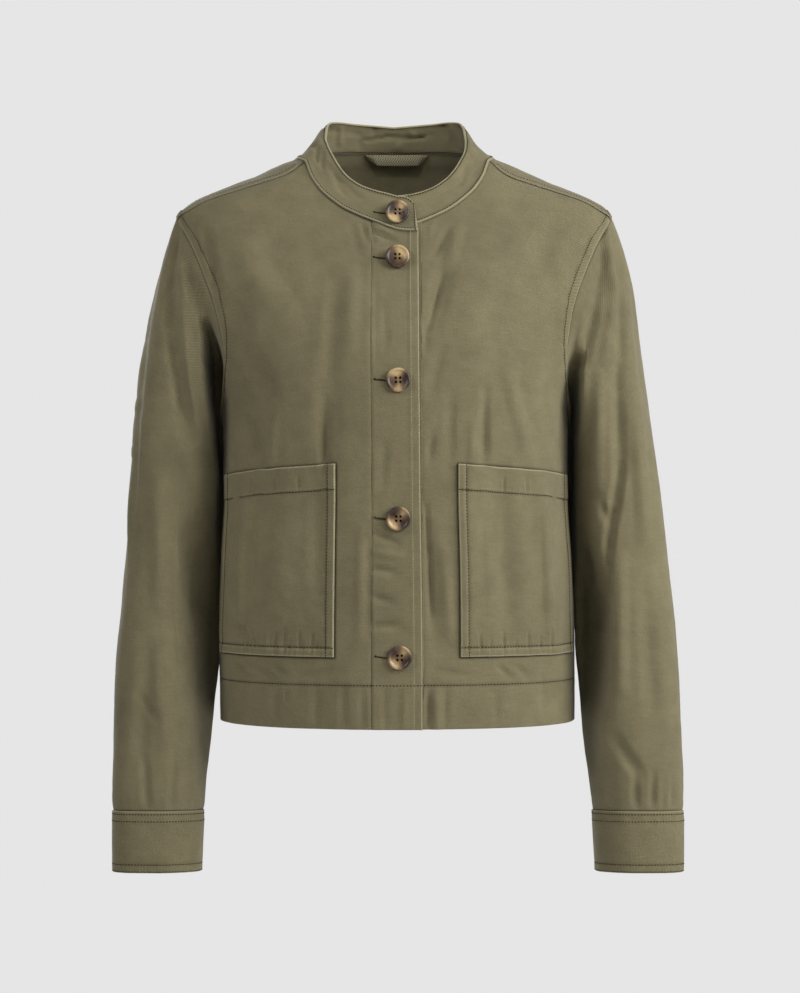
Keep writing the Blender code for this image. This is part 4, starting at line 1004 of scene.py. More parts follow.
def line_from(surface, edge, distance):
    """A line on a finished surface at a distance from one edge, and the normals along it."""
    grid, normals, away = surface.outer, surface.normals, getattr(surface.away, edge)
    if edge in ("first", "last"):
        grid, normals, away = np.swapaxes(grid, 0, 1), np.swapaxes(normals, 0, 1), away.T
    path, out = [], []
    for points, facing, place in zip(grid, normals, away):
        order = np.argsort(place)
        if place[order[-1]] >= distance:
            path.append(read_at(distance, place[order], points[order]))
            out.append(read_at(distance, place[order], facing[order]))
    return np.array(path), np.array(out)


def level_line(surface, height):
    """A level line on a finished panel, and the normals along it."""
    pairs = list(zip(surface.outer, surface.normals))
    path = [read_at(height, points[:, 2], points) for points, _ in pairs]
    out = [read_at(height, points[:, 2], facing) for points, facing in pairs]
    return np.array(path), np.array(out)


def beyond(line, axis, limit):
    """The part of a line whose coordinate on one axis is over a limit."""
    path, out = line
    kept = path[:, axis] > limit
    return path[kept], out[kept]


class Sewing:
    """Collects stitches of one thread and makes one mesh of them."""

    def __init__(self, name, material):
        self.name = name
        self.material = material
        self.points = []
        self.faces = []
        self.count = 0

    def capsules(self, centres, directions, normals, length, radius, flatness=0.75):
        """One capsule at each centre, lying along its direction."""
        sideways = np.cross(normals, directions)
        rings = []
        for place, width in STITCH_PROFILE:
            for turn in 2 * math.pi * np.arange(STITCH_SIDES) / STITCH_SIDES:
                rings.append(centres + place * length * directions
                             + width * radius * math.cos(turn) * sideways
                             + width * radius * flatness * math.sin(turn) * normals)
        cloud = posed(np.stack(rings, axis=1))
        template = []
        for ring in range(len(STITCH_PROFILE) - 1):
            for index in range(STITCH_SIDES):
                a = ring * STITCH_SIDES + index
                b = ring * STITCH_SIDES + (index + 1) % STITCH_SIDES
                template.append((a, b, b + STITCH_SIDES, a + STITCH_SIDES))
        per = len(rings)
        template += [tuple(reversed(range(STITCH_SIDES))), tuple(range(per - STITCH_SIDES, per))]
        for start in range(len(centres)):
            base = self.count + start * per
            self.faces += [tuple(base + k for k in face) for face in template]
        self.points.append(cloud.reshape(-1, 3))
        self.count += len(centres) * per

    def run(self, line, stitch=TOPSTITCH, side=1):
        """Stitches along a line on the cloth. The slant turns each one, as a twisted thread's."""
        path, normals = (mirrored(points, side) for points in line)
        lengths = lengths_along(path)
        count = int(lengths[-1] / stitch.pitch)
        if count < 2:
            return
        wanted = (np.arange(count) + 0.5) * lengths[-1] / count
        step = 0.3 * stitch.pitch
        ahead, behind = (read_at(wanted + step * way, lengths, path) for way in (1, -1))
        directions = unit(ahead - behind)
        out = unit(read_at(wanted, lengths, normals))
        out = unit(out - (out * directions).sum(-1, keepdims=True) * directions)
        directions = math.cos(stitch.slant) * directions + math.sin(stitch.slant) * np.cross(out, directions)
        self.capsules(read_at(wanted, lengths, path), directions, out, stitch.length, stitch.radius)

    def finish(self):
        mesh = bpy.data.meshes.new(self.name)
        mesh.from_pydata(np.concatenate(self.points).tolist(), [], self.faces)
        shape = bmesh.new()
        shape.from_mesh(mesh)
        bmesh.ops.recalc_face_normals(shape, faces=shape.faces)
        shape.to_mesh(mesh)
        shape.free()
        mesh.shade_smooth()
        mesh.materials.append(self.material)
        thing = placed(self.name, mesh)
        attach(thing, "root")


# ------------------------------------------------------------------ materials
class NodeTree:
    """Short calls for the nodes of a material or a world."""

    def __init__(self, tree):
        self.nodes = tree.nodes
        self.links = tree.links

    def feed(self, node, inputs):
        """Link a node's inputs to outputs, or give them plain values."""
        for name, value in inputs.items():
            socket = node.inputs[name]
            if isinstance(value, bpy.types.NodeSocket):
                self.links.new(value, socket)
            elif socket.type == "RGBA":
                socket.default_value = (*value, 1.0)
            else:
                socket.default_value = value

    def node(self, kind, inputs, output, **settings):
        """A new node's output."""
        node = self.nodes.new("ShaderNode" + kind)
        for name, value in settings.items():
            setattr(node, name, value)
        self.feed(node, inputs)
        return node.outputs[output]

    def mix(self, factor, first, second, kind="MIX"):
        return self.node("Mix", {"Factor": factor, 6: first, 7: second}, 2, data_type="RGBA", blend_type=kind)

    def ranged(self, value, low, high, to_low, to_high):
        span = {"From Min": low, "From Max": high, "To Min": to_low, "To Max": to_high}
        return self.node("MapRange", {"Value": value, **span}, "Result")

    def noise(self, vector, scale, detail=3.0, roughness=0.55):
        inputs = {"Vector": vector, "Scale": scale, "Detail": detail, "Roughness": roughness}
        return self.node("TexNoise", inputs, "Fac")

    def mapped(self, vector, scale=(1.0, 1.0, 1.0), turn=0.0):
        inputs = {"Vector": vector, "Rotation": (0.0, 0.0, turn), "Scale": scale}
        return self.node("Mapping", inputs, "Vector")

    def bumped(self, height, strength, distance, under=None):
        inputs = {"Strength": strength, "Distance": distance, "Height": height}
        return self.node("Bump", inputs if under is None else {**inputs, "Normal": under}, "Normal")

    def maths(self, operation, *values):
        return self.node("Math", dict(enumerate(values)), "Value", operation=operation)

    def flat_place(self):
        return self.node("UVMap", {}, "UV", uv_map="flat")

    def own_place(self):
        return self.node("TexCoord", {}, "Object")

    def written(self, name):
        """What wall or painted_horn_sheen wrote at each point."""
        return self.node("Attribute", {}, "Fac", attribute_name=name)


def new_material(name, looks):
    """A material whose main shader has the given values, with its node tree."""
    material = bpy.data.materials.new(name)
    material.use_nodes = True
    tree = NodeTree(material.node_tree)
    shader = tree.nodes["Principled BSDF"]
    tree.feed(shader, looks)
    return material, tree, shader


def twill_material(name):
    """Garment-dyed cotton twill: diagonal ridges, uneven yarns, cloudy dye, a painted highlight on folded
    edges and painted shade.
    """
    looks = {"Roughness": 0.88, "Specular IOR Level": 0.22, "Sheen Weight": 0.12, "Sheen Roughness": 0.45}
    material, tree, shader = new_material(name, looks)
    flat = tree.flat_place()
    turned = tree.mapped(flat, turn=math.radians(90 - TWILL_ANGLE))
    ridges = tree.node("TexWave", {
        "Vector": turned, "Scale": 2 * math.pi / (20 * TWILL_PITCH), "Distortion": 0.9, "Detail": 2.0,
        "Detail Scale": 0.6}, "Fac", wave_type="BANDS", bands_direction="X")
    yarn = tree.noise(tree.mapped(turned, (1.0, 0.22, 1.0)), 1500.0, 2.0)
    slub = tree.noise(tree.mapped(flat, (0.06, 1.0, 1.0)), 900.0, 2.0)
    where = tree.own_place()
    cloud = tree.noise(where, 9.0, 4.0, 0.6)
    fade = tree.noise(where, 55.0, 3.0, 0.6)

    colour = tree.mix(tree.ranged(ridges, 0.0, 1.0, 0.26, 0.0), TWILL, TWILL_WEAVE_AND_SHADE)
    for value, low, high in ((yarn, 0.84, 1.16), (slub, 0.94, 1.06), (cloud, 0.88, 1.12), (fade, 0.90, 1.10)):
        level = tree.ranged(value, 0.25, 0.75, low, high)
        grey = tree.node("CombineColor", {channel: level for channel in range(3)}, "Color")
        colour = tree.mix(1.0, colour, grey, "MULTIPLY")
    # Painted highlight on folded edges and ridges, painted shade along seams, stitches and under overlaps.
    edge = tree.written("shade")
    colour = tree.mix(tree.ranged(edge, 0.0, 1.0, 0.0, 0.75), colour, TWILL_HIGHLIGHT)
    colour = tree.mix(tree.ranged(edge, 0.0, -1.0, 0.0, 0.80), colour, TWILL_WEAVE_AND_SHADE)
    normal = None
    for value, strength, distance in ((ridges, 0.55, 0.00016), (yarn, 0.40, 0.00012), (fade, 0.25, 0.0008)):
        normal = tree.bumped(value, strength, distance, normal)
    tree.feed(shader, {"Base Color": colour, "Normal": normal})
    return material


def thread_material(name, colour):
    """Twisted cotton thread."""
    material, tree, shader = new_material(name, {"Roughness": 0.85, "Specular IOR Level": 0.04})
    fleck = tree.noise(tree.own_place(), 2500.0, 2.0)
    darker = tuple(0.7 * channel for channel in colour)
    colour = tree.mix(fleck, darker, colour)
    tree.feed(shader, {"Base Color": colour, "Normal": tree.bumped(fleck, 0.35, 0.0001)})
    return material


def horn_material():
    """Satin horn, dark brown to tan: a painted reflection in broad sectors, as a turned disc shows it, and
    drawn-out grain.
    """
    looks = {"Roughness": 0.36, "Specular IOR Level": 0.28, "Coat Weight": 0.06, "Coat Roughness": 0.28}
    material, tree, shader = new_material("horn", looks)
    drawn = tree.mapped(tree.own_place(), (1.0, 0.3, 1.0), 0.9)
    cloud = tree.noise(drawn, 240.0)
    fine = tree.noise(drawn, 1100.0, 3.0, 0.6)
    mixed = tree.maths("ADD", tree.written("horn_tone_and_sheen"), tree.ranged(cloud, 0.25, 0.75, -0.16, 0.16))
    ramp = tree.nodes.new("ShaderNodeValToRGB")
    ramp.color_ramp.elements.new(0.50)
    for stop, (place, colour) in zip(ramp.color_ramp.elements, HORN_AND_SHEEN_COLOURS):
        stop.position = place
        stop.color = (*colour, 1.0)
    tree.links.new(mixed, ramp.inputs["Fac"])
    colour = tree.mix(tree.ranged(fine, 0.3, 0.7, 0.0, 0.22), ramp.outputs["Color"], HORN_GRAIN)
    tree.feed(shader, {"Base Color": colour, "Normal": tree.bumped(fine, 0.08, 0.0001)})
    return material


def tape_material():
    """Herringbone cotton tape: ridges that turn back at the middle of each band."""
    material, tree, shader = new_material("herringbone_tape", {"Roughness": 0.85, "Specular IOR Level": 0.25})
    parts = tree.nodes.new("ShaderNodeSeparateXYZ")
    tree.feed(parts, {"Vector": tree.flat_place()})
    zigzag = tree.maths("PINGPONG", parts.outputs["Y"], HERRINGBONE_BAND)
    slope = tree.maths("ADD", parts.outputs["X"], zigzag)
    ridges = tree.maths("SINE", tree.maths("MULTIPLY", slope, 2 * math.pi / HERRINGBONE_PITCH))
    level = tree.ranged(ridges, -1.0, 1.0, 0.0, 1.0)
    woven = tree.mix(level, TAPE_DARK, TAPE_LIGHT)
    # A painted highlight along the tape's lower edge, where the shade attribute is one.
    tree.feed(shader, {"Base Color": tree.mix(tree.written("shade"), woven, TAPE_HIGHLIGHT),
                       "Normal": tree.bumped(level, 0.6, 0.0003)})
    return material


# ------------------------------------------------------------------ the pieces
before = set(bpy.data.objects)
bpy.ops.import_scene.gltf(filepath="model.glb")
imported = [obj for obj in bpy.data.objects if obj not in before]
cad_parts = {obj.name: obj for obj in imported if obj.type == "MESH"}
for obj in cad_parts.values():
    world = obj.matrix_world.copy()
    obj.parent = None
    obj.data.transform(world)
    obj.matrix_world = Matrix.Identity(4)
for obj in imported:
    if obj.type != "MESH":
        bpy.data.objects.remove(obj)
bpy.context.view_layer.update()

twill = twill_material("olive_twill")
dark_thread = thread_material("dark_thread", THREAD_DARK)
light_thread = thread_material("light_thread", THREAD_LIGHT)
horn = horn_material()
tape = tape_material()
body_stitches = Sewing("body_stitches", dark_thread)
band_stitches = Sewing("band_stitches", light_thread)
sleeve_stitches = Sewing("sleeve_stitches", dark_thread)
collar_stitches = Sewing("collar_stitches", dark_thread)
pocket_stitches = Sewing("pocket_stitches", dark_thread)


def armhole_mitre(grid):
    """The armhole's shared thickness direction, between the body's and the sleeve's."""
    return unit(form_normal(grid[:, 0]) + grid_normals(grid, closed=True)[:, 0])


def hem_thickness(grid):
    return (CLOTH * (1 + smooth_step((HEM_Z + HEM_FOLD + 0.001 - grid[..., 2]) / 0.002)))[..., None]


def flat_places(grid, side):
    """Flat coordinates of a body panel: round the form and up the column."""
    return np.stack([side * slice_length(grid), edge_distances(grid).bottom + grid[:, :1, 2]], axis=-1)


def seam_marks(grid):
    """How much each point of a panel counts as beside the armhole and beside the shoulder seam."""
    x, z = grid[..., 0], grid[..., 2]
    by_armhole = smooth_step((z - UNDERARM_Z) / 0.01)
    return by_armhole, smooth_step((x - SHOULDER_START) / 0.01) * smooth_step((z + 0.075) / 0.02)


def panel_relief(grid, away, by_armhole, seed):
    """The hem's gathers and groove, the raised turnings at the armhole and the side seam's groove."""
    above_hem = grid[..., 2] - HEM_LINE
    return (pucker(slice_length(grid), np.abs(above_hem), seed) - 0.00035 * bump(above_hem, 0.0022)
            + 0.0006 * smooth_step((ARMHOLE_BAND - away.last) / 0.0016) * by_armhole
            - 0.0005 * bump(away.last, 0.0020) * (1 - by_armhole))


def sew_panel(surface, side):
    """The stitches that the fronts and the back share, along the hem and beside the armhole."""
    body_stitches.run(level_line(surface, HEM_LINE), side=side)
    body_stitches.run(beyond(line_from(surface, "last", ARMHOLE_ROW), 2, UNDERARM_Z + 0.004), side=side)


def band_shadow(grid, side, steady, upper):
    """How dark the painted shadow along a band's seam is: uneven but for a steady share, and weaker higher
    up.
    """
    uneven = steady + (1 - steady) * waves(mirrored(grid, side), 0.045, 4.0)
    return uneven * (upper + (1 - upper) * smooth_step((-0.26 - grid[..., 2]) / 0.06))


def build_fronts():
    """Both fronts. Returns their outer surfaces by side, and the part of their grid under the pocket."""
    grid = with_edge_lines(front_grid(), ("first", "last", "top", "bottom"))
    away = edge_distances(grid)
    normals = form_normal(grid)
    above_hem = grid[..., 2] - HEM_LINE
    by_armhole, by_shoulder = seam_marks(grid)
    held = smooth_step(away.top / 0.02) * smooth_step(away.last / 0.02) * smooth_step(away.first / 0.012)
    block = pocket_block(grid)
    beside = outside_distance(away.first, block[0], 0)
    by_pocket = np.hypot(beside, outside_distance(away.bottom, block[1], 1))
    surfaces = {}
    for side, name in SIDE_NAMES.items():
        is_right = side == RIGHT
        heights = BODY_FOLD_GAIN * fold_heights(grid, FRONT_FOLDS, side)
        heights += drape(mirrored(grid, side)) * (0.25 + 0.75 * held)
        heights += panel_relief(grid, away, by_armhole, 1.0 + side)
        heights += pucker(away.bottom, np.abs(away.last - ARMHOLE_ROW), 3.0 + side) * by_armhole
        heights -= 0.0005 * is_right * bump(away.first, 0.0022)
        heights -= 0.0006 * bump(away.top, 0.0020) * by_shoulder
        # Painted light: a painted shadow along the right band's seam and, stronger on the right, under the
        # collar;
        # and on the side seam; painted highlight on the armhole seam's ridge and the hem's folded edge.
        # painted shade at the hem's stitches, round the pocket, under the shoulder seam, at the armhole's
        # stitches
        band_seam_shadow = 0.40 * is_right * band_shadow(grid, side, 0.55, 0.35)
        collar_shadow = (1 - by_shoulder) * (1.0 if is_right else 0.45)
        shade = bumps(
            (-band_seam_shadow, away.first, 0.0016), (-0.45, above_hem, 0.0016), (-1.10, by_pocket, 0.0026),
            (-1.10 * collar_shadow, away.top - 0.0010, 0.0030), (-0.80 * by_shoulder, away.top, 0.0024),
            (0.55 * by_armhole, away.last - 0.0008, 0.0012), (-0.45 * by_armhole, away.last - 0.0092, 0.0016),
            (-0.35 * (1 - by_armhole), away.last, 0.0012), (0.30, away.bottom, 0.0016))
        if is_right:
            heights += lap_lift(grid[..., 0])
        faces = two_faces(grid, heights, normals, hem_thickness(grid), away.bottom, 2 * CLOTH)
        thing = wall(f"front_{name}_cloth", faces, flat_places(grid, side), shade, twill, side)
        cloth_piece(thing, f"front_{name}")
        surfaces[side] = surface_of(faces[0], normals)
        sew_panel(surfaces[side], side)
    return surfaces, block


def build_back():
    grid = with_edge_lines(back_half_grid(), ("last", "top", "bottom"))
    away = edge_distances(grid)
    normals = form_normal(grid)
    by_armhole, by_shoulder = seam_marks(grid)
    # Painted light: painted shade at the hem's stitches, the side seam, the shoulder's stitches and below the
    # collar;
    # painted highlight on the hem's folded edge, the armhole seam's ridge and the shoulder seam's folded
    # edge.
    shade = bumps(
        (-0.25, grid[..., 2] - HEM_LINE, 0.0016), (0.30, away.bottom, 0.0016),
        (0.45 * by_armhole, away.last - 0.0004, 0.0012), (-0.35 * (1 - by_armhole), away.last, 0.0012),
        (0.55 * by_shoulder, away.top, 0.0014), (-0.35 * by_shoulder, away.top - 0.0026, 0.0014),
        (-1.00 * (1 - by_shoulder), away.top, 0.0030))
    halves = []
    for side in SIDE_NAMES:
        folds_behind, folds_before = (fold_heights(grid, table, side) for table in (BACK_FOLDS, FRONT_FOLDS))
        heights = BODY_FOLD_GAIN * np.where(grid[..., 1] > 0, folds_behind, folds_before)
        hold = smooth_step(away.top / 0.02) * smooth_step(away.last / 0.02)
        heights += 1.2 * drape(mirrored(grid, side)) * hold
        heights += panel_relief(grid, away, by_armhole, 7.0 + side)
        heights += 0.0009 * smooth_step((0.0060 - away.top) / 0.0014) * by_shoulder
        outer, inner = two_faces(grid, heights, normals, hem_thickness(grid), away.bottom, 2 * CLOTH)
        places = flat_places(grid, side)
        places[..., 0] -= places[:1, :, 0]
        halves.append([mirrored(outer, side), mirrored(inner, side), places, shade])
        surface = surface_of(outer, normals)
        sew_panel(surface, side)
        body_stitches.run(beyond(line_from(surface, "top", SHOULDER_ROW), 0, 0.094), side=side)
    outer, inner, places, shade = (np.concatenate([right[:0:-1], left]) for left, right in zip(*halves))
    thing = wall("back_cloth", (outer, inner), places, shade, twill, inner_shade_share=0.9)
    cloth_piece(thing, "back")


def pocket_block(grid):
    """The part of a front's grid under its pocket, as (columns, rows) slices."""
    heights = grid[0, :, 2]
    angles = form_angle(grid)[:, np.argmin(np.abs(heights - POCKET_MIDDLE_Z))]
    first, last = (int(np.argmin(np.abs(angles - edge))) for edge in (POCKET_INNER_ANGLE, POCKET_OUTER_ANGLE))
    bottom, top = (int(np.argmin(np.abs(heights - edge))) for edge in (POCKET_BOTTOM_Z, POCKET_TOP_Z))
    return np.s_[first:last + 1, bottom:top + 1]


def outside_distance(along_grid, span, axis):
    """Each point's distance, along one axis of its grid, from a span of columns (axis 0) or rows (axis 1)."""
    start, stop = (np.take(along_grid, [index], axis=axis) for index in (span.start, span.stop - 1))
    return np.maximum(np.maximum(start - along_grid, along_grid - stop), 0.0)


def build_pockets(fronts, block):
    for side, name in SIDE_NAMES.items():
        under = with_edge_lines(finer(fronts[side].outer[block]), ("first", "last", "bottom", "top"))
        normals = patch_normals(under)
        away = edge_distances(under)
        border = np.minimum(np.minimum(away.first, away.last), away.bottom)
        lowest = np.minimum(border, away.top)
        heights = SEAM_GAP + CLOTH + 0.0006 * smooth_step((POCKET_HEM - away.top) / 0.0016)
        heights += 0.0008 * smooth_step((0.0072 - border) / 0.0016)
        heights += 0.0011 * bump(away.bottom - 0.075, 0.07) * smooth_step(border / 0.035)
        heights += 2.0 * fold_heights(under, POCKET_FOLDS, side)
        heights += 1.4 * pucker(away.first, np.abs(away.bottom - 0.0045), 11.0 + side, 0.007)
        heights += pucker(away.bottom, np.abs(away.first - 0.0080), 15.0 + side, 0.006)
        heights += pucker(away.first, np.abs(away.top - POCKET_HEM), 17.0 + side, 0.007)
        heights += 0.6 * drape(mirrored(under, side) + 0.31) * smooth_step(border / 0.02)
        # Painted highlight on the pocket's folded edges and beside each stitch row, painted shade in the
        # stitch rows.
        shade = 0.85 * bump(lowest - 0.0003, 0.0012)
        inside = smooth_step((lowest - 0.0022) / 0.001)
        for edge, place in POCKET_STITCHING:
            off = getattr(away, edge) - place
            heights -= 0.0004 * bump(off, 0.0018)
            shade += bumps((0.22, off + 0.0022, 0.0012), (-0.55, off, 0.0016)) * inside
        faces = two_faces(under, heights, normals, (heights - SEAM_GAP)[..., None], lowest, CLOTH)
        places = np.stack([side * (away.first + 0.056), away.bottom + POCKET_BOTTOM_Z], axis=-1)
        thing = wall(f"pocket_{name}_cloth", faces, places, shade, twill, side)
        cloth_piece(thing, f"pocket_{name}")
        surface = surface_of(faces[0], normals)
        for edge, place in POCKET_STITCHING:
            pocket_stitches.run(line_from(surface, edge, place), side=side)
        for edge in ("first", "bottom", "top"):
            band_stitches.run(line_from(surface, edge, POCKET_EDGE_ROW), POCKET_EDGE_STITCH, side)


def round_places(grid, down, side):
    """Flat coordinates of a closed piece: round its ring and down it."""
    around = closed_lengths(grid).mean(axis=1)
    return np.stack(np.broadcast_arrays(-side * around[:, None], -down.mean(axis=0)[None, :]), axis=-1)


def build_sleeves():
    cells = 2 * math.ceil(ARMHOLE_ROWS * ARMHOLE_CELL / CELL / 2)
    angles = np.roll(armhole_ring(cells), -cells)
    base = with_edge_lines(sleeve_grid(angles), ("top",), (0.0006, 0.0014))
    shared = armhole_mitre(base)
    blend = smooth_step(np.arange(base.shape[1]) / 4)[None, :, None]
    away = edge_distances(base)
    down = away.bottom
    around_ring = closed_lengths(base)
    from_seam = np.minimum(around_ring, around_ring[-1:] - around_ring)[:-1]
    middle = base[..., 1].mean(axis=0, keepdims=True)
    frontness = smooth_step((middle - base[..., 1]) / 0.02 + 0.5)
    around = np.linspace(0, 0.25, base.shape[0])[:, None] + np.zeros_like(down)
    # Painted shade below the armhole seam, at the cuff's seam and along the underarm seam.
    shade = bumps((-0.85, down - 0.0006, 0.0022), (-0.50, away.top, 0.0018), (-0.40, from_seam, 0.0016))
    for side, name in SIDE_NAMES.items():
        grid = hollowed(base, side, down)
        out = unit((1 - blend) * shared[:, None] + blend * grid_normals(grid, closed=True))
        front, back = (fold_heights(base, table, side) for table in (SLEEVE_FRONT_FOLDS, SLEEVE_BACK_FOLDS))
        heights = SLEEVE_FOLD_GAIN * (frontness * front + (1 - frontness) * back)
        hold = smooth_step(down / 0.03) * smooth_step(away.top / 0.012)
        heights += drape(mirrored(base, side) + 0.17) * hold
        heights += 2.4 * pucker(around, away.top, 21.0 + side, 0.014)
        heights *= CUFF_END_SHARE + (1 - CUFF_END_SHARE) * smooth_step(away.top / 0.008)
        heights -= bumps((0.0006, away.top, 0.0020), (0.0006, from_seam, 0.0024))
        heights *= smooth_step(down / 0.004)
        heights[:, 0] = 0.0
        outer = grid + heights[..., None] * out
        faces = (outer, outer - CLOTH * out)
        places = round_places(base, down, side)
        thing = wall(f"sleeve_{name}_cloth", faces, places, shade, twill, side, closed=True)
        cloth_piece(thing, f"sleeve_{name}")
        build_cuff(name, side, angles)


def build_cuff(name, side, angles):
    grid = with_edge_lines(rings_grid(CUFF, angles), ("bottom", "top"))
    normals = grid_normals(grid, closed=True)
    away = edge_distances(grid)
    around = np.linspace(0, 0.25, grid.shape[0])[:, None] + np.zeros_like(away.top)
    heights = CUFF_PROUD + 0.0004 + 0.4 * drape(mirrored(grid, side) + 0.43)
    # Painted highlight on both folded edges, painted shade along the stitch rows.
    shade = bumps((0.75, away.top, 0.0014), (0.75, away.bottom, 0.0014))
    for edge, place in CUFF_STITCHING:
        off = getattr(away, edge) - place
        heights -= 0.00025 * bump(off, 0.0018)
        heights += 0.9 * pucker(around, np.abs(off), 25.0 + side + place * 100, 0.004)
        shade -= 0.30 * bump(off, 0.0012)
    faces = two_faces(grid, heights, normals, BAND, np.minimum(away.top, away.bottom), BAND)
    places = round_places(grid, away.bottom, side)
    thing = wall(f"cuff_{name}_cloth", faces, places, shade, twill, side, closed=True)
    cloth_piece(thing, f"cuff_{name}")
    surface = surface_of(*(np.concatenate([points, points[:1]]) for points in (faces[0], normals)))
    for edge, place in CUFF_STITCHING:
        sleeve_stitches.run(line_from(surface, edge, place), side=side)


def band_edge(heights, top):
    return np.interp(heights, [HEM_Z, top], [PLACKET_EDGE_HEM, PLACKET_EDGE_TOP])


def neck_height_at(x):
    curve = neckline(0, NECK_SEAM_ANGLE)
    return np.interp(np.abs(x), curve[:, 0], curve[:, 2])


def build_plackets():
    """The button stand at the form's own level, and the buttonhole band above it."""
    top = float(neck_height_at(PLACKET_SEAM))
    level = np.linspace(HEM_Z, top, 1 + math.ceil((top - HEM_Z) / CELL))
    share = np.concatenate([[0.0, 0.012, 0.035, 0.07], np.linspace(0.11, 0.93, 2 + math.ceil(0.036 / CELL)),
                            [0.965, 0.985, 1.0]])
    edges = band_edge(level, top)
    x = -edges[None, :] + share[:, None] * (edges + PLACKET_SEAM + SEAM_GAP)[None, :]
    stretch = np.clip((level[None, :] - UNDERARM_Z) / (top - UNDERARM_Z), 0.0, 1.0)
    for side, name in SIDE_NAMES.items():
        tops = neck_height_at(x[:, -1]) - (lap_drop(-x[:, -1]) if side == RIGHT else 0.0)
        heights = level[None, :] + (tops[:, None] - top) * stretch
        grid = with_edge_lines(front_point(x, heights), ("bottom", "top"))
        normals = form_normal(grid)
        away = edge_distances(grid)
        relief = BODY_FOLD_GAIN * fold_heights(grid, PLACKET_FOLDS, side)
        relief += 0.5 * drape(mirrored(grid, side) + 0.23) - 0.0003 * bump(away.first - BAND_ROW, 0.0015)
        relief += pucker(away.bottom, np.abs(away.first - BAND_ROW), 31.0 + side, 0.005, 0.0002)
        relief += pucker(away.bottom, away.first, 33.0 + side, 0.004, 0.0002)
        # Painted highlight on the band's free edge and bottom, painted shade beside its inner stitches;
        # on the right, a painted shadow along its seam and under the collar.
        shade = bumps((0.80, away.first, 0.0016), (0.15, away.first - BAND_ROW, 0.0012),
                      (-0.45, away.first - 0.0091, 0.0011), (0.30, away.bottom, 0.0016))
        if side == RIGHT:
            relief += LAP_LIFT + 0.0004 - 0.0006 * bump(away.last, 0.0022)
            shadow = band_shadow(grid, side, 0.5, 0.4)
            shade += bumps((0.25 * shadow, away.last - 0.0024, 0.0012), (-0.45 * shadow, away.last, 0.0016),
                           (-1.10, away.top - 0.0010, 0.0030))
        else:
            above = BODY_FOLD_GAIN * fold_heights(mirrored(grid, RIGHT), PLACKET_FOLDS, RIGHT)
            relief += np.minimum(above, 0.0) + 0.0001 * bump(away.last, 0.0022)
        faces = two_faces(grid, relief, normals, BAND, np.minimum(away.first, away.bottom), BAND)
        places = np.stack([side * grid[..., 0], grid[..., 2]], axis=-1)
        thing = wall(f"placket_{name}_cloth", faces, places, shade, twill, side)
        cloth_piece(thing, f"placket_{name}")
        surface = surface_of(faces[0], normals)
        band_stitches.run(line_from(surface, "first", BAND_EDGE_ROW), OVERCAST_STITCH, side)
        band_stitches.run(line_from(surface, "first", BAND_ROW), BAND_STITCH, side)
        body_stitches.run(level_line(surface, HEM_LINE), side=side)


def round_neck(angles):
    """Angles round the neck as angles of either half of the form, and the side that each lies on."""
    folded = np.where(angles < 0, -angles, np.where(angles <= 180, angles, np.abs(360 - angles)))
    return folded, np.where((angles < 0) | ((angles > 180) & (angles <= 360)), -1.0, 1.0)


def flipped(points, sides):
    """Points of the form, each brought to its own side."""
    return points * np.stack([sides, np.ones_like(sides), np.ones_like(sides)], axis=-1)


def collar_angles():
    """Angles of the collar's columns, from its under end (below 0) round to its top end (past 360)."""
    fine = np.linspace(0, NECK_SEAM_ANGLE, 800)
    x = torso_point(fine, neck_height(fine))[:, 0]
    turns = np.radians(np.linspace(0, 90, 8))
    corner = np.interp(PLACKET_EDGE_TOP - COLLAR_CORNER * (1 - np.cos(turns)), x, fine)
    dense = np.linspace(-corner[-1], 360 + corner[-1], 4000)
    folded, sides = round_neck(dense)
    lengths = lengths_along(flipped(torso_point(folded, neck_height(folded)), sides))
    middle = np.interp(np.linspace(0, lengths[-1], math.ceil(lengths[-1] / CELL) + 1), lengths, dense)
    return np.concatenate([-corner[:-1], middle, 360 + corner[-2::-1]])


def collar_grid(angles):
    """The collar's band without creases (round, up), and how far it rolls out at each of its angles."""
    folded, side = round_neck(angles)
    drop = np.where(angles > 300, lap_drop(side * torso_point(folded, neck_height(folded))[:, 0]), 0.0)
    base = torso_point(folded, neck_height(folded) - drop)
    lift = np.where(angles > 270, np.where(angles > 360, LAP_LIFT, lap_lift(base[:, 0])), 0.0)
    tops = np.stack([curve(folded) for curve in curves(COLLAR_TOP)], axis=-1)
    inward, up, bulge = (curve(folded) for curve in curves(COLLAR_SIDE))
    tops[:, 0] -= np.where(side < 0, inward, 0.0)
    tops[:, 2] += np.where(side < 0, up, 0.0) - 0.5 * drop
    rise = tops - base
    tall = np.linalg.norm(rise, axis=-1)
    into_corner = np.clip(1 - (PLACKET_EDGE_TOP - base[:, 0]) / COLLAR_CORNER, 0.0, 1.0)
    rounding = COLLAR_CORNER * (1 - np.sqrt(np.clip(1 - into_corner ** 2, 0.0, 1.0)))
    reach = np.where((angles < 0) | (angles > 360), 1 - rounding / tall, 1.0)
    steps = np.linspace(0.0, 1.0, 1 + math.ceil(COLLAR_HEIGHT / CELL))
    grid = base[:, None] + (steps[None, :, None] * reach[:, None, None]) * rise[:, None]
    grid += (lift[:, None] * form_normal(base))[:, None]
    return flipped(grid, side[:, None]), np.where(side < 0, 1.0, LEFT_BULGE_SHARE) * bulge


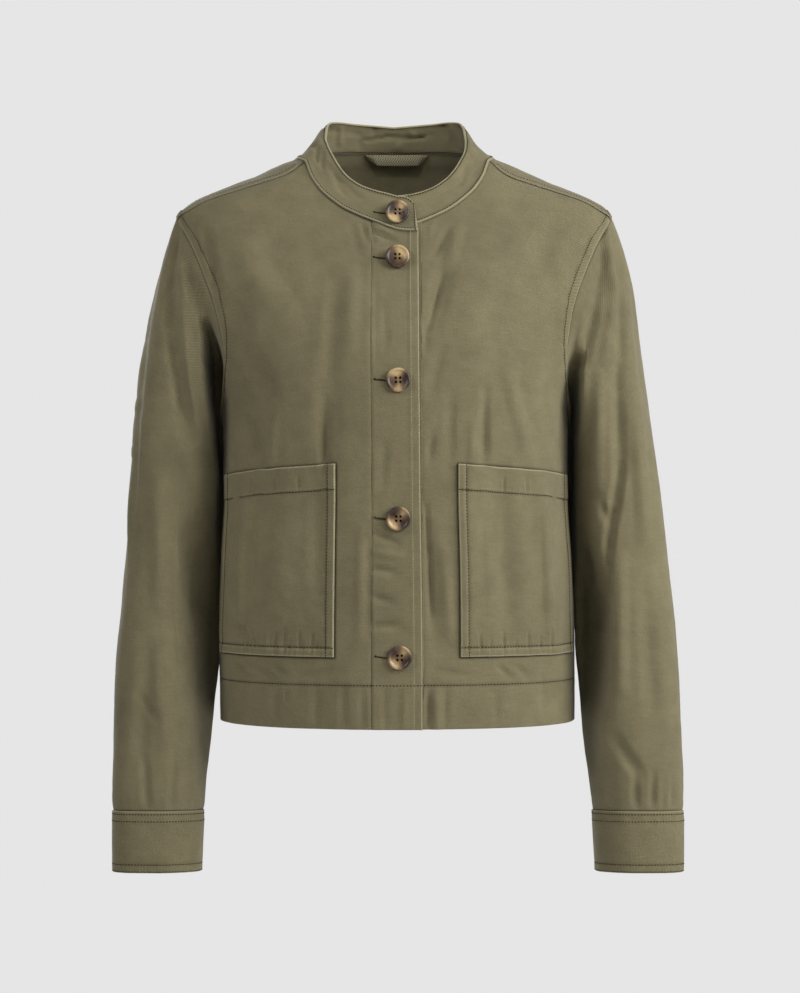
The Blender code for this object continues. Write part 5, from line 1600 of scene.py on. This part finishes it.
def build_collar():
    angles = collar_angles()
    grid, bulge = collar_grid(angles)
    grid = with_edge_lines(grid, ("bottom", "top", "first", "last"))
    normals = grid_normals(grid, closed=False)
    away = edge_distances(grid)
    ends = np.minimum(away.first, away.last)
    share = away.bottom / np.maximum(away.bottom[:, -1:], 1e-6)
    columns = grid.shape[0]
    spread = np.interp(np.arange(columns), np.linspace(0, columns - 1, len(angles)), angles)[:, None]
    heights = 0.0016 * smooth_step((0.0034 - away.bottom) / 0.0020)
    rolled = smooth_step(share / 0.75) * (1 - smooth_step((share - 0.80) / 0.20))
    heights += np.interp(spread, angles, bulge) * rolled
    for fold in COLLAR_FOLDS:
        start = (fold.angle0 / COLLAR_FOLD_SCALE, fold.share0)
        end = (fold.angle1 / COLLAR_FOLD_SCALE, fold.share1)
        _, off = from_line(spread / COLLAR_FOLD_SCALE, share, start, end)
        heights += fold.height * bump(off, 2 * fold.half_width / COLLAR_FOLD_SCALE)
    heights += 0.35 * drape(grid + 0.61) * smooth_step(away.bottom / 0.006)
    heights += pucker(away.first, np.abs(away.top - 0.0035), 41.0, 0.004, 0.0002)
    heights += pucker(away.first, np.abs(away.bottom - 0.0028), 43.0, 0.004, 0.0002)
    heights -= bumps((0.0003, away.top - 0.0032, 0.0014), (0.0003, away.bottom - 0.0030, 0.0014))
    # Painted highlight along the top, the bottom and both ends, painted shade along the stitch rows beside
    # them.
    shade = bumps(
        (1.00, away.top - 0.0003, 0.0017), (-0.60, away.top - 0.0030, 0.0014),
        (0.85, away.bottom - 0.0006, 0.0013), (-0.50, away.bottom - 0.0033, 0.0013),
        (1.00, ends - 0.0008, 0.0019), (-0.50, ends - 0.0031, 0.0013))
    rim = np.minimum(np.minimum(away.bottom, away.top), ends)
    ridge = 0.0008 * bump(away.bottom - 0.0010, 0.0018)[..., None]
    outer, inner = two_faces(grid, heights, normals, BAND + ridge, rim, BAND)
    outer[:, 0] -= 0.0010 * unit(outer[:, 3] - outer[:, 0])
    places = np.stack([away.first, away.bottom], axis=-1)
    thing = wall("collar_cloth", (outer, inner), places, shade, twill, inner_shade_share=0.9)
    cloth_piece(thing, "collar")
    for points, way, low_row, high_row in ((outer, 1, 0.0032, 0.0027), (inner, -1, 0.0030, 0.0021)):
        surface = surface_of(points, way * normals)
        for edge, place in (("top", high_row), ("bottom", low_row)):
            path, out = line_from(surface, edge, place)
            collar_stitches.run((path[3:-3], out[3:-3]), COLLAR_STITCH)
        collar_stitches.run(line_from(surface, "last", COLLAR_END_ROW))


def build_hanger_loop():
    """A short herringbone tape inside the back neck, turned up at both ends under the collar seam."""
    share = np.linspace(-1.0, 1.0, 61)
    x = HANGER_MIDDLE + HANGER_HALF_LENGTH * share
    low_edge = (-0.0006 - 0.0005 * (1 - share ** 2) + 0.0080 * np.clip((-share - 0.62) / 0.38, 0.0, 1.0)
                + 0.0075 * np.clip((share - 0.70) / 0.30, 0.0, 1.0))
    high_edge = np.maximum(low_edge + 0.0022, 0.0092)
    form_share = np.abs(x / torso_width(HANGER_Z)) ** TORSO_POWER
    form_y = torso_back(HANGER_Z) * (1 - form_share) ** (1 / TORSO_POWER)
    y = form_y - 1.5 * CLOTH - 0.0006 - 0.0036 * smooth_step((1 - np.abs(share)) / 0.30)
    steps = np.linspace(0.0, 1.0, 9)
    z = low_edge[:, None] + steps[None, :] * (high_edge - low_edge)[:, None]
    belly = 0.0012 * np.sin(math.pi * steps)[None, :] - 0.0012 * (1 - steps)[None, :]
    grid = np.stack(np.broadcast_arrays(x[:, None], y[:, None] - belly, z), axis=-1)
    behind = grid - np.array([0.0, HANGER_THICKNESS, 0.0])
    # Painted highlight on the tape's lower edge.
    shade = np.zeros(grid.shape[:2])
    shade[:, 0] = 1.0
    thing = wall("hanger_tape", (grid, behind), grid[..., ::2], shade, tape, inner_shade_share=1.0)
    cloth_piece(thing, "hanger_loop")


# ------------------------------------------------------------------ buttons
ACROSS = np.array([1.0, 0.0, 0.0])
FORWARDS = np.array([0.0, -1.0, 0.0])
ButtonPoint = namedtuple("ButtonPoint", "radius height")
BUTTON_PROFILE = rows_of(ButtonPoint, (
    (0.0083, 0), (0.0095, 0.0003), (0.0104, 0.0009), (0.0109, 0.0016), (0.011, 0.0023), (0.01085, 0.003),
    (0.0103, 0.0035), (0.0097, 0.0037), (0.009, 0.0036), (0.0084, 0.0032), (0.0079, 0.0028),
    (0.007, 0.0026), (0.0045, 0.0025),
))
BUTTON_RADIUS = max(point.radius for point in BUTTON_PROFILE)
BUTTON_SIDES = 64
# Each button's tan sectors are a painted satin reflection.
# The tan sectors of each button: direction and weight of a single one and of an opposite pair, and the level.
HornSheen = namedtuple("HornSheen", "single_turn single pair_turn pair level")
BUTTON_TONE_AND_SHEEN = rows_of(HornSheen, (
    (250, 0.14, 62, 0.44, 0.42), (40, 0.46, 60, 0.12, 0.46), (140, 0.18, 100, 0.42, 0.44),
    (230, 0.14, 50, 0.36, 0.4), (215, 0.08, 55, 0.34, 0.42),
))
HOLE_OFFSETS = [(across, up) for across in (-BUTTON_HOLE_PITCH / 2, BUTTON_HOLE_PITCH / 2)
                for up in (-BUTTON_HOLE_PITCH / 2, BUTTON_HOLE_PITCH / 2)]


def mesh_of(name, shape):
    mesh = bpy.data.meshes.new(name)
    shape.to_mesh(mesh)
    shape.free()
    return mesh


def turned_button():
    """A disc with a rolled rim and a dish, and four holes cut through it. It stands on its own Z = 0."""
    shape = bmesh.new()
    rings = []
    turns = [2 * math.pi * index / BUTTON_SIDES for index in range(BUTTON_SIDES)]
    for point in BUTTON_PROFILE:
        ring = []
        for turn in turns:
            place = (point.radius * math.cos(turn), point.radius * math.sin(turn), point.height)
            ring.append(shape.verts.new(place))
        rings.append(ring)
    for below, above in zip(rings, rings[1:]):
        for index in range(BUTTON_SIDES):
            after = (index + 1) % BUTTON_SIDES
            shape.faces.new((below[index], below[after], above[after], above[index]))
    shape.faces.new(list(reversed(rings[0])))
    shape.faces.new(rings[-1])
    bmesh.ops.recalc_face_normals(shape, faces=shape.faces)
    blank = placed("button_blank", mesh_of("button_blank", shape))
    drills = bmesh.new()
    for across, up in HOLE_OFFSETS:
        made = bmesh.ops.create_cone(drills, cap_ends=True, segments=24, radius1=BUTTON_HOLE_RADIUS,
                                     radius2=BUTTON_HOLE_RADIUS, depth=0.02)
        bmesh.ops.translate(drills, verts=made["verts"], vec=Vector((across, up, 0.0)))
    cutter = placed("button_cutter", mesh_of("button_cutter", drills))
    cut = blank.modifiers.new("holes", "BOOLEAN")
    cut.object = cutter
    bpy.context.view_layer.update()
    drilled = bpy.data.meshes.new_from_object(blank.evaluated_get(bpy.context.evaluated_depsgraph_get()))
    drilled.name = "button"
    drilled.shade_smooth()
    drilled.set_sharp_from_angle(angle=math.radians(45))
    drilled.materials.clear()
    drilled.materials.append(horn)
    for thing in (blank, cutter):
        bpy.data.objects.remove(thing)
    return drilled


def button_seat(height):
    """Where a button touches the cloth at the centre front, and the direction that it faces."""
    if height > neck_height(0.0):
        base = torso_point(0.0, float(neck_height(0.0)))
        top = np.array(COLLAR_TOP[0][1:])
        seat = base + (height - base[2]) / (top[2] - base[2]) * (top - base)
        rise = unit(top - base)
        facing = np.array([0.0, -rise[2], rise[1]])
    else:
        seat = torso_point(0.0, height)
        facing = form_normal(seat)
    return seat + LAP_LIFT * facing, facing


def painted_horn_sheen(mesh, horn_row):
    """Write each point's place from dark horn to its painted tan reflection, with painted shade low on the
    rim.
    """
    points = np.array([vertex.co for vertex in mesh.vertices])
    turn = np.degrees(np.arctan2(points[:, 1], points[:, 0]))
    reach = np.hypot(points[:, 0], points[:, 1]) / BUTTON_RADIUS
    single = horn_row.single * np.cos(np.radians(turn - horn_row.single_turn))
    pair = horn_row.pair * np.cos(2 * np.radians(turn - horn_row.pair_turn))
    value = horn_row.level + (single + pair) * smooth_step(reach / 0.7)
    value += 0.10 * (1 - smooth_step(reach / 0.5))
    # Painted shade on the rim's lower side.
    value += np.where(points[:, 2] < BUTTON_PROFILE[3].height, -0.35, 0.0)
    horn_tone_and_sheen = mesh.attributes.new("horn_tone_and_sheen", "FLOAT", "POINT")
    horn_tone_and_sheen.data.foreach_set("value", value.astype(np.float32))


def sew_buttonhole(holes, seat, facing, up, seed):
    """Two uneven rows of short stitches that meet at the far end in a small knot."""
    share = np.linspace(0.0, 1.0, 14)
    reach = BUTTONHOLE_NEAR + (BUTTONHOLE_FAR - BUTTONHOLE_NEAR) * share
    out = np.tile(facing, (len(share), 1))
    for lip in (-1, 1):
        wander = 0.0004 * waves(np.stack([reach, 0 * reach, 0 * reach + 0.01 * lip], axis=-1), 0.004, seed)
        rise = -0.0008 + 0.0016 * share + lip * 0.00045 * np.sin(math.pi * share) + wander
        path = seat + reach[:, None] * ACROSS + rise[:, None] * up + 0.0005 * facing
        holes.run((path, out), BUTTONHOLE_STITCH._replace(slant=lip * BUTTONHOLE_STITCH.slant))
    knot = seat + BUTTONHOLE_FAR * ACROSS + 0.0008 * up + 0.0006 * facing
    for turn in (-0.9, -0.2, 0.6):
        along_knot = math.cos(turn) * up + math.sin(turn) * ACROSS
        holes.capsules((knot + 0.0004 * along_knot)[None], along_knot[None], facing[None], 0.0018, 0.00034)


def build_buttons():
    blank = turned_button()
    holes = Sewing("buttonholes", dark_thread)
    shanks = Sewing("button_threads", dark_thread)
    for index, height in enumerate(BUTTON_HEIGHTS):
        seat, slope = button_seat(height - BUTTON_DROPS[index])
        seat = seat + BUTTON_ACROSS[index] * ACROSS
        facing = unit((1 - BUTTON_UPRIGHT) * slope + BUTTON_UPRIGHT * FORWARDS)
        up = np.cross(facing, ACROSS)
        lean = math.acos(min(1.0, float(slope @ facing)))
        stand = BUTTON_STAND_OFF + BUTTON_PROFILE[2].radius * math.sin(lean)
        mesh = blank.copy()
        painted_horn_sheen(mesh, BUTTON_TONE_AND_SHEEN[index])
        thing = placed(f"button_{index + 1}_horn", mesh)
        thing.rotation_mode = "QUATERNION"
        thing.rotation_quaternion = Matrix(np.array([ACROSS, up, facing]).T).to_quaternion()
        thing.location = posed(seat + stand * facing)
        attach(thing, "root")
        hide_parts(f"button_{index + 1}")

        sew_buttonhole(holes, seat, slope, np.cross(slope, ACROSS), 5.0 + index)
        # Dark thread fills each hole; its colour stands in for the shade inside the holes.
        for x_off, y_off in HOLE_OFFSETS:
            spot = seat + (stand + 0.0006) * facing + x_off * ACROSS + y_off * up
            shanks.capsules(spot[None], facing[None], up[None], 0.0018, 0.9 * BUTTON_HOLE_RADIUS, 1.0)
        shanks.capsules((seat + 0.5 * stand * facing)[None], facing[None], up[None], 1.3 * stand, 0.0016, 1.0)
    holes.finish()
    shanks.finish()


fronts, under_pocket = build_fronts()
build_back()
build_pockets(fronts, under_pocket)
build_sleeves()
build_plackets()
build_collar()
build_hanger_loop()
build_buttons()
for sewing in (body_stitches, band_stitches, sleeve_stitches, collar_stitches, pocket_stitches):
    sewing.finish()


# ------------------------------------------------------------------ studio
SENSOR_WIDTH = 36.0
PHOTO_HEIGHT_PIXELS = 993
METRES_PER_PIXEL = 0.00095
FLOOR_RADIUS = 2.6
ROOM_GREY = (0.132, 0.128, 0.126)
BACKDROP_GREY = (0.79, 0.79, 0.79)
CAMERA_DISTANCE = 2.335
CAMERA_HEIGHT = -0.3225
CAMERA_ACROSS = 0.0033
FLOOR_Z = -1.40
LIGHT_AIM = Vector((0.0, 0.0, -0.30))
LIGHT_DISTANCE = 2.35
# Name, azimuth from the camera's side towards +X, elevation, size and power of each light.
STUDIO_LIGHTS = (
    ("key", 62.0, 20.0, 1.5, 65.0),
    ("front_right", 35.0, 25.0, 1.5, 16.0),
    ("fill", -52.0, 30.0, 1.2, 27.0),
    ("back_right", 150.0, 25.0, 1.2, 12.0),
    ("back_left", -150.0, 25.0, 1.2, 42.0),
)
NECK_LIGHT_PLACE = Vector((0.0, -1.000, 0.620))
NECK_LIGHT_AIM = Vector((0.002, 0.055, 0.006))
NECK_LIGHT_SPREAD = 7.0
NECK_LIGHT_POWER = 60.0


def aimed(name, kind, place, aim, power):
    """A light of the given kind that points from its place at its aim."""
    light = bpy.data.lights.new(name, kind)
    light.energy = power
    thing = placed(name, light)
    thing.location = place
    thing.rotation_mode = "QUATERNION"
    thing.rotation_quaternion = (aim - place).to_track_quat("-Z", "Y")
    return light


def build_lights():
    for name, azimuth, elevation, size, power in STUDIO_LIGHTS:
        turn, lift = math.radians(azimuth), math.radians(elevation)
        towards = Vector((math.sin(turn) * math.cos(lift), -math.cos(turn) * math.cos(lift), math.sin(lift)))
        light = aimed(name, "AREA", LIGHT_AIM + LIGHT_DISTANCE * towards, LIGHT_AIM, power)
        light.shape = "DISK"
        light.size = size
    # A narrow soft beam over the front of the collar, onto the inside of the back neck.
    beam = aimed("neck", "SPOT", NECK_LIGHT_PLACE, NECK_LIGHT_AIM, NECK_LIGHT_POWER)
    beam.spot_size = math.radians(NECK_LIGHT_SPREAD)
    beam.spot_blend = 1.0
    beam.shadow_soft_size = 0.10


def build_floor():
    """A plain pale disc that fades into the backdrop towards its rim."""
    place = (0, 0, FLOOR_Z)
    bpy.ops.mesh.primitive_circle_add(vertices=128, radius=FLOOR_RADIUS, fill_type="NGON", location=place)
    floor = bpy.context.object
    floor.name = "studio_floor"
    material, tree, shader = new_material("pale_floor", {"Base Color": (0.80, 0.80, 0.80), "Roughness": 0.9})
    size = tree.node("VectorMath", {0: tree.own_place()}, "Value", operation="LENGTH")
    tree.feed(shader, {"Alpha": tree.ranged(size, 1.2, 2.55, 1.0, 0.0)})
    floor.data.materials.append(material)


def build_world():
    """A dim warm room for the light, and a pale backdrop for the camera."""
    world = bpy.data.worlds.new("studio")
    world.use_nodes = True
    tree = NodeTree(world.node_tree)
    room = tree.nodes["Background"]
    tree.feed(room, {"Color": ROOM_GREY})
    backdrop = tree.node("Background", {"Color": BACKDROP_GREY}, "Background")
    seen = tree.node("LightPath", {}, "Is Camera Ray")
    either = tree.node("MixShader", {"Fac": seen, 1: room.outputs["Background"], 2: backdrop}, "Shader")
    tree.feed(tree.nodes["World Output"], {"Surface": either})
    bpy.context.scene.world = world


def build_camera():
    lens = bpy.data.cameras.new("camera")
    half_view = 0.5 * PHOTO_HEIGHT_PIXELS * METRES_PER_PIXEL
    lens.lens = SENSOR_WIDTH / 2 / (half_view / CAMERA_DISTANCE)
    lens.sensor_width = SENSOR_WIDTH
    lens.clip_end = 50.0
    camera = placed("camera", lens)
    camera.location = (CAMERA_ACROSS, -CAMERA_DISTANCE, CAMERA_HEIGHT)
    camera.rotation_euler = (math.pi / 2, 0.0, 0.0)
    bpy.context.scene.camera = camera
    bpy.context.scene.view_settings.view_transform = "Standard"


build_world()
build_lights()
build_floor()
build_camera()
